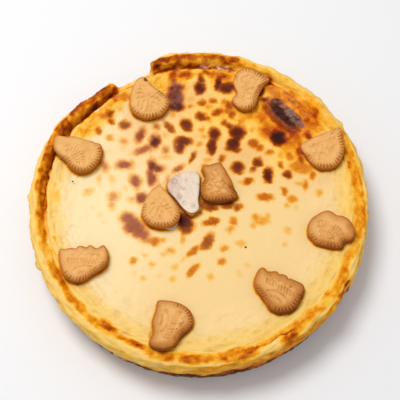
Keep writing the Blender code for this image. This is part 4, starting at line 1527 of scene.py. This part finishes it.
@dataclass
class Biscuit:
    """A stamped biscuit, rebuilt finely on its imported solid.

    Attributes:
        node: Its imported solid.
        flutes: The first and last angle about its middle of its fluted edge, in degrees.
        motif: The design stamped on its face.
        turn: How far that design is turned, in degrees.
        tanned: How strongly its edge is toasted.
        bronzed: How much browner its whole face is than the others'.
        scorch: A burnt mark on its face: x, y and radius.
        notches: Small dips of its outline: the angle about its middle, half the width and the depth.
        upside_down: Whether its face lies downwards.
    """

    node: str
    flutes: tuple[float, float]
    motif: Motif
    turn: float
    tanned: float = 0.9
    bronzed: float = 0.0
    scorch: tuple[float, float, float] | None = None
    notches: tuple[tuple[float, float, float], ...] = ()
    upside_down: bool = False
    columns: int = 300
    foot_inset: float = 0.7
    edge_drop: float = 1.3
    plateau_inset: float = 2.0
    flute_pitch: float = 2.8
    flute_depth: float = 0.58
    flute_start: float = 0.5
    flute_length: float = 4.8
    groove_width: float = 0.8
    groove_depth: float = 0.95
    groove_start: float = 4.6
    flute_fade: float = 2.4
    rib_height: float = 0.2
    rib: tuple[tuple[float, float], tuple[float, float]] = ((4.8, 5.4), (6.8, 6.0))

    def fluting(self, outline: np.ndarray) -> np.ndarray:
        """How deep the flutes are along the outline.

        Args:
            outline: The outline's points.

        Returns:
            A value for each point, from 0 to 1.
        """
        sides = np.linalg.norm(outline - np.roll(outline, 1, axis=0), axis=1)
        run = np.cumsum(sides)
        count = max(1, round(run[-1] / self.flute_pitch))
        wave = (0.5 - 0.5 * np.cos(2 * math.pi * count * run / run[-1])) ** 1.2
        angle = np.degrees(np.arctan2(outline[:, 1], outline[:, 0]))
        span = self.flutes[1] - self.flutes[0]
        off = (angle - self.flutes[0]) % 360.0
        return wave * rise(off, 0.0, 9.0) * rise(off, span + 4.0, span - 5.0)

    def grooves(self, flat: np.ndarray, depth: np.ndarray, fluting: np.ndarray) -> np.ndarray:
        """How deep each point lies in the flutes or the stamped design, from 0 to 1.

        Args:
            flat: Points of the face, x and y from its middle.
            depth: Each point's distance from the outline.
            fluting: How deep the flutes are at each column.

        Returns:
            The share of a groove's full depth.
        """
        worn = np.clip(0.75 + WEAR.at(lifted(flat)), 0.3, 1.1)
        outside = (self.flute_start - 0.4, self.flute_start + 0.4)
        inside = (self.flute_length, self.flute_length - self.flute_fade)
        grooved = fluting * worn * plateau(depth, outside, inside)
        stamped = worn * rise(depth, self.groove_start, self.groove_start + 1.0)
        x, y = turned_by(flat[..., 0], flat[..., 1], self.turn)
        for stroke in MOTIFS[self.motif]:
            near = bell(stroke.away(x, y) / self.groove_width)
            grooved = np.maximum(grooved, near * stamped)
        return grooved

    def face(self, flat: np.ndarray, depth: np.ndarray, grooves: np.ndarray, seed: int) -> np.ndarray:
        """How far the stamped face lies above its plain height.

        Args:
            flat: Points of the face, x and y from its middle.
            depth: Each point's distance from the outline.
            grooves: How deep each point lies in a groove.
            seed: Which crumb pattern to take.

        Returns:
            The height in millimetres.
        """
        spread = lifted(flat)
        pitted = Bumps(2.0, seed + 8, 0.3, 2).above(spread, 0.42, 0.8)
        rough = Bumps(3.0, seed, 0.2, 4).at(spread) + Bumps(8.0, seed + 5, 0.6, 2).at(spread)
        return self.rib_height * plateau(depth, *self.rib) - self.groove_depth * grooves - pitted + rough

    def build(self, number: int) -> bpy.types.Object:
        """Makes the biscuit and dresses it.

        Args:
            number: Its place in the list, for its own crumb pattern.

        Returns:
            The object.
        """
        seat = Seat.of(self.node)
        outline, outward = even_ring(seat.outline, self.columns, self.foot_inset)
        around = np.degrees(np.arctan2(outline[:, 1], outline[:, 0]))
        for angle, width, dip in self.notches:
            outline -= outward * (dip * bell((around - angle) / width))[:, None]
        fluting = self.fluting(outline)
        seed = 40 + 7 * number
        shoulder = seat.thickness - self.edge_drop
        sides = [(self.foot_inset + 2.5, 0.0), (self.foot_inset, 0.0), (0.3, 0.35), (0.1, 1.0), (0.0, 1.7),
                 (0.0, 2.6), (0.0, 3.4), (0.02, 4.1), (0.06, shoulder - 0.3)]
        rings = []
        for inset, height in sides:
            grooved = inset + self.flute_depth * 0.35 * fluting * min(1.0, height / 1.7)
            rings.append(lifted(outline - outward * grooved[:, None], height))
        shares = np.concatenate([np.linspace(0.995, 0.7, 26), np.linspace(0.685, 0.02, 34)])
        flat = outline * shares[:, None, None]
        depth = np.min(np.linalg.norm(flat[:, :, None] - outline[None, None, ::3], axis=-1), axis=-1)
        bevel = 1.0 - np.clip(depth / self.plateau_inset, 0.0, 1.0)
        top = shoulder + self.edge_drop * np.sqrt(np.maximum(0.0, 1.0 - bevel ** 2))
        grooves = self.grooves(flat, depth, fluting)
        if self.upside_down:
            grooves = np.zeros_like(grooves)
            top = np.where(depth < 0.8, shoulder + 0.9 + depth * 0.5, seat.thickness)
        else:
            top += self.face(flat, depth, grooves, seed)
        rings = np.concatenate([np.array(rings), lifted(flat, top)])
        crumbly = Bumps(1.7, seed + 3, 0.2).at(rings) + Bumps(5.0, seed + 4, 0.25, 2).at(rings)
        crumbly[:2] = 0.0
        rings = rings + normals_of(rings) * crumbly[..., None]
        on_side = np.zeros((len(sides), self.columns))
        depth, sunk = (np.concatenate([on_side, values]) for values in (depth, grooves))
        toast = self.toast(seat, rings, depth, sunk, seed)
        skin = Skin(f"stamped_{self.node}", seat.placed(rings), {"toast": toast})
        made = skin.build(Shortbread().material())
        ride(made, "shortbread", self.node)
        return made

    def toast(self, seat: Seat, rings: np.ndarray, depth: np.ndarray, sunk: np.ndarray,
              seed: int) -> np.ndarray:
        """How dark the biscuit is: toasted most at its edge, with painted shade in its flutes and grooves and
        on its lower right side.

        Args:
            seat: Where the biscuit lies.
            rings: Its points by ring and column, in the seat's own frame.
            depth: Each point's distance from the outline.
            sunk: How deep each point lies in a groove, from 0 to 1.
            seed: Which crumb pattern it has.

        Returns:
            A value for each point, from 0 for pale.
        """
        shoulder = seat.thickness - self.edge_drop
        low = rise(rings[..., 2], shoulder + 0.4, shoulder - 1.4)
        flat = seat.placed(rings)[..., :2]
        # Painted shade: darker towards the lower right, away from the light.
        shaded_side = rise((flat - flat.mean(axis=(0, 1))) @ np.array(SHADED_SIDE), -8.0, 15.0)
        rimmed = rise(depth, 2.4, 0.2) * 0.36 + rise(depth, 9.0, 1.0) * 0.36
        toast = self.tanned * (0.75 + 0.3 * shaded_side) * np.clip(rimmed + low * 0.08, 0.0, 1.0)
        toast *= 1.0 + Bumps(6.0, seed + 6, 0.35).at(rings)
        # Painted shade in the flutes and stamped grooves, strongest on the lower right.
        fluted = sunk * rise(depth, self.flute_length, self.flute_length - 2.0)
        toast += sunk * 0.2 + fluted * (0.06 + 0.26 * shaded_side) + self.bronzed + 0.08 * shaded_side
        if self.scorch:
            x, y, radius = self.scorch
            toast += 1.2 * rise(np.hypot(rings[..., 0] - x, rings[..., 1] - y), radius, radius * 0.4)
        return toast


BISCUITS = (
    Biscuit("biscuit_back_left", (-150, 40), Motif.DASHES, 60.0, scorch=(-3.4, 14.8, 2.2)),
    Biscuit("biscuit_left_upper", (-175, 25), Motif.FAN, -10.0),
    Biscuit("biscuit_back_right", (-120, 150), Motif.RIPPLE, 80.0),
    Biscuit("biscuit_right_upper", (-165, 60), Motif.RIPPLE, 20.0),
    Biscuit("biscuit_right", (190, 320), Motif.FAN, 15.0, 1.1, 0.18),
    Biscuit("biscuit_front_right", (-200, -10), Motif.CRESTS, -28.0, 1.1, 0.26,
            notches=((119, 7, 0.9), (85, 6, 1.0), (50, 6, 1.0))),
    Biscuit("biscuit_front", (-85, 80), Motif.CRESTS, 250.0, 1.1, 0.18),
    Biscuit("biscuit_left_lower", (-155, 5), Motif.CRESTS, 5.0, 1.2,
            notches=((141, 5, 0.8), (118, 6, 1.1), (84, 7, 1.1))),
    Biscuit("biscuit_centre_left", (-190, -5), Motif.DASHES, 40.0),
    Biscuit("biscuit_centre_right", (-190, -15), Motif.RIPPLE, 75.0, 1.2, 0.22),
    Biscuit("biscuit_turned_over", (-180, 180), Motif.RIPPLE, 0.0, upside_down=True),
)


@dataclass
class Coating:
    """A thin poured coating on one face of a biscuit.

    Attributes:
        node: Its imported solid.
        blisters: Small raised drops on it: x, y and radius.
        dents: Shallow hollows in it, the same way.
    """

    node: str
    blisters: tuple[tuple[float, float, float], ...] = ()
    dents: tuple[tuple[float, float, float], ...] = ()
    columns: int = 240
    foot_inset: float = 0.3
    edge_drop: float = 0.4
    blister_height: float = 0.9
    dent_depth: float = 0.7

    def build(self, number: int) -> bpy.types.Object:
        """Makes the coating and dresses it.

        Args:
            number: Its place in the list, for its own unevenness.

        Returns:
            The object.
        """
        seat = Seat.of(self.node)
        outline, _ = even_ring(seat.outline, self.columns, self.foot_inset)
        seed = 140 + 9 * number
        sides = [(0.96, 0.0), (0.985, 0.0), (1.0, 0.25), (1.005, 0.5), (1.0, 0.8), (0.99, 1.1)]
        shares = np.concatenate([np.linspace(0.975, 0.8, 10), np.linspace(0.78, 0.02, 40)])
        low = [lifted(outline * share, height) for share, height in sides]
        flat = outline * shares[:, None, None]
        spread = lifted(flat)
        rounded = np.sqrt(np.maximum(0.0, 1.0 - np.clip((shares - 0.86) / 0.14, 0.0, 1.0) ** 2))
        top = (seat.thickness - self.edge_drop * (1.0 - rounded))[:, None]
        top = top + Bumps(9.0, seed, 0.3, 2).at(spread) + Bumps(1.8, seed + 2, 0.1, 2).at(spread)
        for x, y, radius in self.blisters:
            away = np.hypot(flat[..., 0] - x, flat[..., 1] - y) / radius
            top += self.blister_height * np.exp(-2.0 * away ** 2)
        for x, y, radius in self.dents:
            top -= self.dent_depth * rise(np.hypot(flat[..., 0] - x, flat[..., 1] - y), radius, radius * 0.2)
        rings = np.concatenate([np.array(low), lifted(flat, top)])
        outward = np.array([share for share, _ in sides] + list(shares))[:, None]
        toast = rise(outward, 0.94, 1.0) * 0.3 + Bumps(6.0, seed + 4, 0.2).above(rings, 0.2, 0.7)
        # Warmer and greyer towards one side of the coating.
        warm = rise(rings[..., 0], 1.0, -6.0)
        skin = Skin(f"icing_{self.node}", seat.placed(rings), {"toast": toast, "warm": warm})
        made = skin.build(Icing().material())
        ride(made, "white_icing", self.node)
        return made


COATINGS = (
    Coating("coating_turned_over", blisters=((-1.8, 3.4, 1.3), (-0.2, 2.6, 1.3), (-3, -4, 2.2), (7, -11, 2.0),
                                             (11, 6, 1.4)),
            dents=((2.5, 9.5, 1.8), (-7, 9, 3.2), (1, -9, 2.4))),
    Coating("coating_centre_left"),
)


@dataclass
class BurntSpecks:
    """A few burnt specks on the top: x, y, how high their place is, and their size."""

    places: tuple[tuple[float, float, float, float], ...] = (
        (35.3, -36.7, 39.1, 0.9), (-97.0, 15.5, 42.4, 0.75),
    )

    def build(self) -> bpy.types.Object:
        """Makes the specks as one piece and dresses it.

        Returns:
            The object.
        """
        turn = np.radians(np.arange(14) * 360.0 / 14)
        tilts = np.radians(np.linspace(-75.0, 75.0, 8))
        shape = np.array([[[math.cos(a) * math.cos(t), math.cos(a) * math.sin(t), math.sin(a)] for t in turn]
                          for a in tilts])
        parts = []
        for number, (x, y, height, size) in enumerate(self.places):
            rough = 1.0 + 0.4 * layered(shape * 3.0 + 9.0 * number, 2.0, 170 + number)
            rings = shape * rough[..., None] * (size, size * 0.8, size * 0.5) + (x, y, height)
            parts.append(Skin(f"speck_{number}", rings).build(Soot().material()))
        made = joined(parts, "burnt_specks")
        ride(made, "crumb")
        return made


def joined(parts: Sequence[bpy.types.Object], name: str) -> bpy.types.Object:
    """Makes one object of several that share a finish.

    Args:
        parts: The objects, whose first one gives the finish; all of them are removed.
        name: The name of the result.

    Returns:
        The joined object.
    """
    points: list[tuple[float, ...]] = []
    faces: list[list[int]] = []
    for part in parts:
        start = len(points)
        points += [tuple(vertex.co) for vertex in part.data.vertices]
        faces += [[start + index for index in face.vertices] for face in part.data.polygons]
    mesh = bpy.data.meshes.new(name)
    mesh.from_pydata(points, [], faces)
    material = parts[0].data.materials[0]
    for part in parts:
        bpy.data.objects.remove(part, do_unlink=True)
    return shown(name, mesh, material)


# The studio

@dataclass
class Studio:
    """A pale floor, a soft window light from the left, and the camera."""

    camera_place: Vector = field(default_factory=lambda: Vector((0.0, -0.2627, 0.7225)))
    target: Vector = field(default_factory=lambda: Vector((0.0, 0.0, 0.02)))
    lens: float = 85.95
    sensor: float = 36.0
    shift: tuple[float, float] = (0.00275, 0.02625)
    floor_side: float = 6.0
    key_place: Vector = field(default_factory=lambda: Vector((-0.36, 0.3, 1.3)))
    key_size: float = 0.55
    key_power: float = 12.2
    key_colour: Colour = (1.0, 0.97, 0.93)
    sky: Colour = (1.0, 0.975, 0.935)
    sky_strength: float = 0.6

    def build_floor(self) -> bpy.types.Object:
        """Lays the floor.

        Returns:
            The object.
        """
        half = self.floor_side / 2
        mesh = bpy.data.meshes.new("studio_floor")
        corners = [(-half, -half, 0.0), (half, -half, 0.0), (half, half, 0.0), (-half, half, 0.0)]
        mesh.from_pydata(corners, [], [(0, 1, 2, 3)])
        floor = shown("studio_floor", mesh, PaleFloor().material())
        floor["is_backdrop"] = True
        return floor

    def light(self) -> None:
        """Hangs the window light and sets the sky."""
        key = bpy.data.lights.new("window_light", "AREA")
        key.shape = "DISK"
        key.size = self.key_size
        key.energy = self.key_power
        key.color = self.key_colour
        lamp = bpy.data.objects.new("window_light", key)
        bpy.context.scene.collection.objects.link(lamp)
        lamp.location = self.key_place
        lamp.rotation_euler = (self.target - self.key_place).to_track_quat("-Z", "Y").to_euler()
        world = bpy.data.worlds.new("soft_sky")
        world.use_nodes = True
        background = world.node_tree.nodes["Background"]
        background.inputs["Color"].default_value = (*self.sky, 1.0)
        background.inputs["Strength"].default_value = self.sky_strength
        bpy.context.scene.world = world
        bpy.context.scene.view_settings.view_transform = "Standard"

    def set_camera(self) -> None:
        """Sets the camera at the photograph's angle."""
        lens = bpy.data.cameras.new("photo_camera")
        lens.lens = self.lens
        lens.sensor_width = self.sensor
        lens.shift_x, lens.shift_y = self.shift
        camera = bpy.data.objects.new("photo_camera", lens)
        bpy.context.scene.collection.objects.link(camera)
        camera.location = self.camera_place
        camera.rotation_euler = (self.target - self.camera_place).to_track_quat("-Z", "Y").to_euler()
        bpy.context.scene.camera = camera

    def build(self) -> None:
        """Makes the whole studio."""
        self.build_floor()
        self.light()
        self.set_camera()


def corners() -> dict[str, list[float]]:
    """The whole object's lowest and highest corners, in metres."""
    low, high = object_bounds()
    return {"low": list(low), "high": list(high)}


def main() -> None:
    """Builds the cake, piece by piece, and its studio."""
    logging.basicConfig(level=logging.INFO, format="%(name)s: %(message)s")
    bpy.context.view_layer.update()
    Studio().build()
    Filling().build()
    CrumbBase().build()
    for number, biscuit in enumerate(BISCUITS):
        biscuit.build(number)
    for number, coating in enumerate(COATINGS):
        coating.build(number)
    BurntSpecks().build()
    LOG.info("size written")


if __name__ == "__main__":
    main()
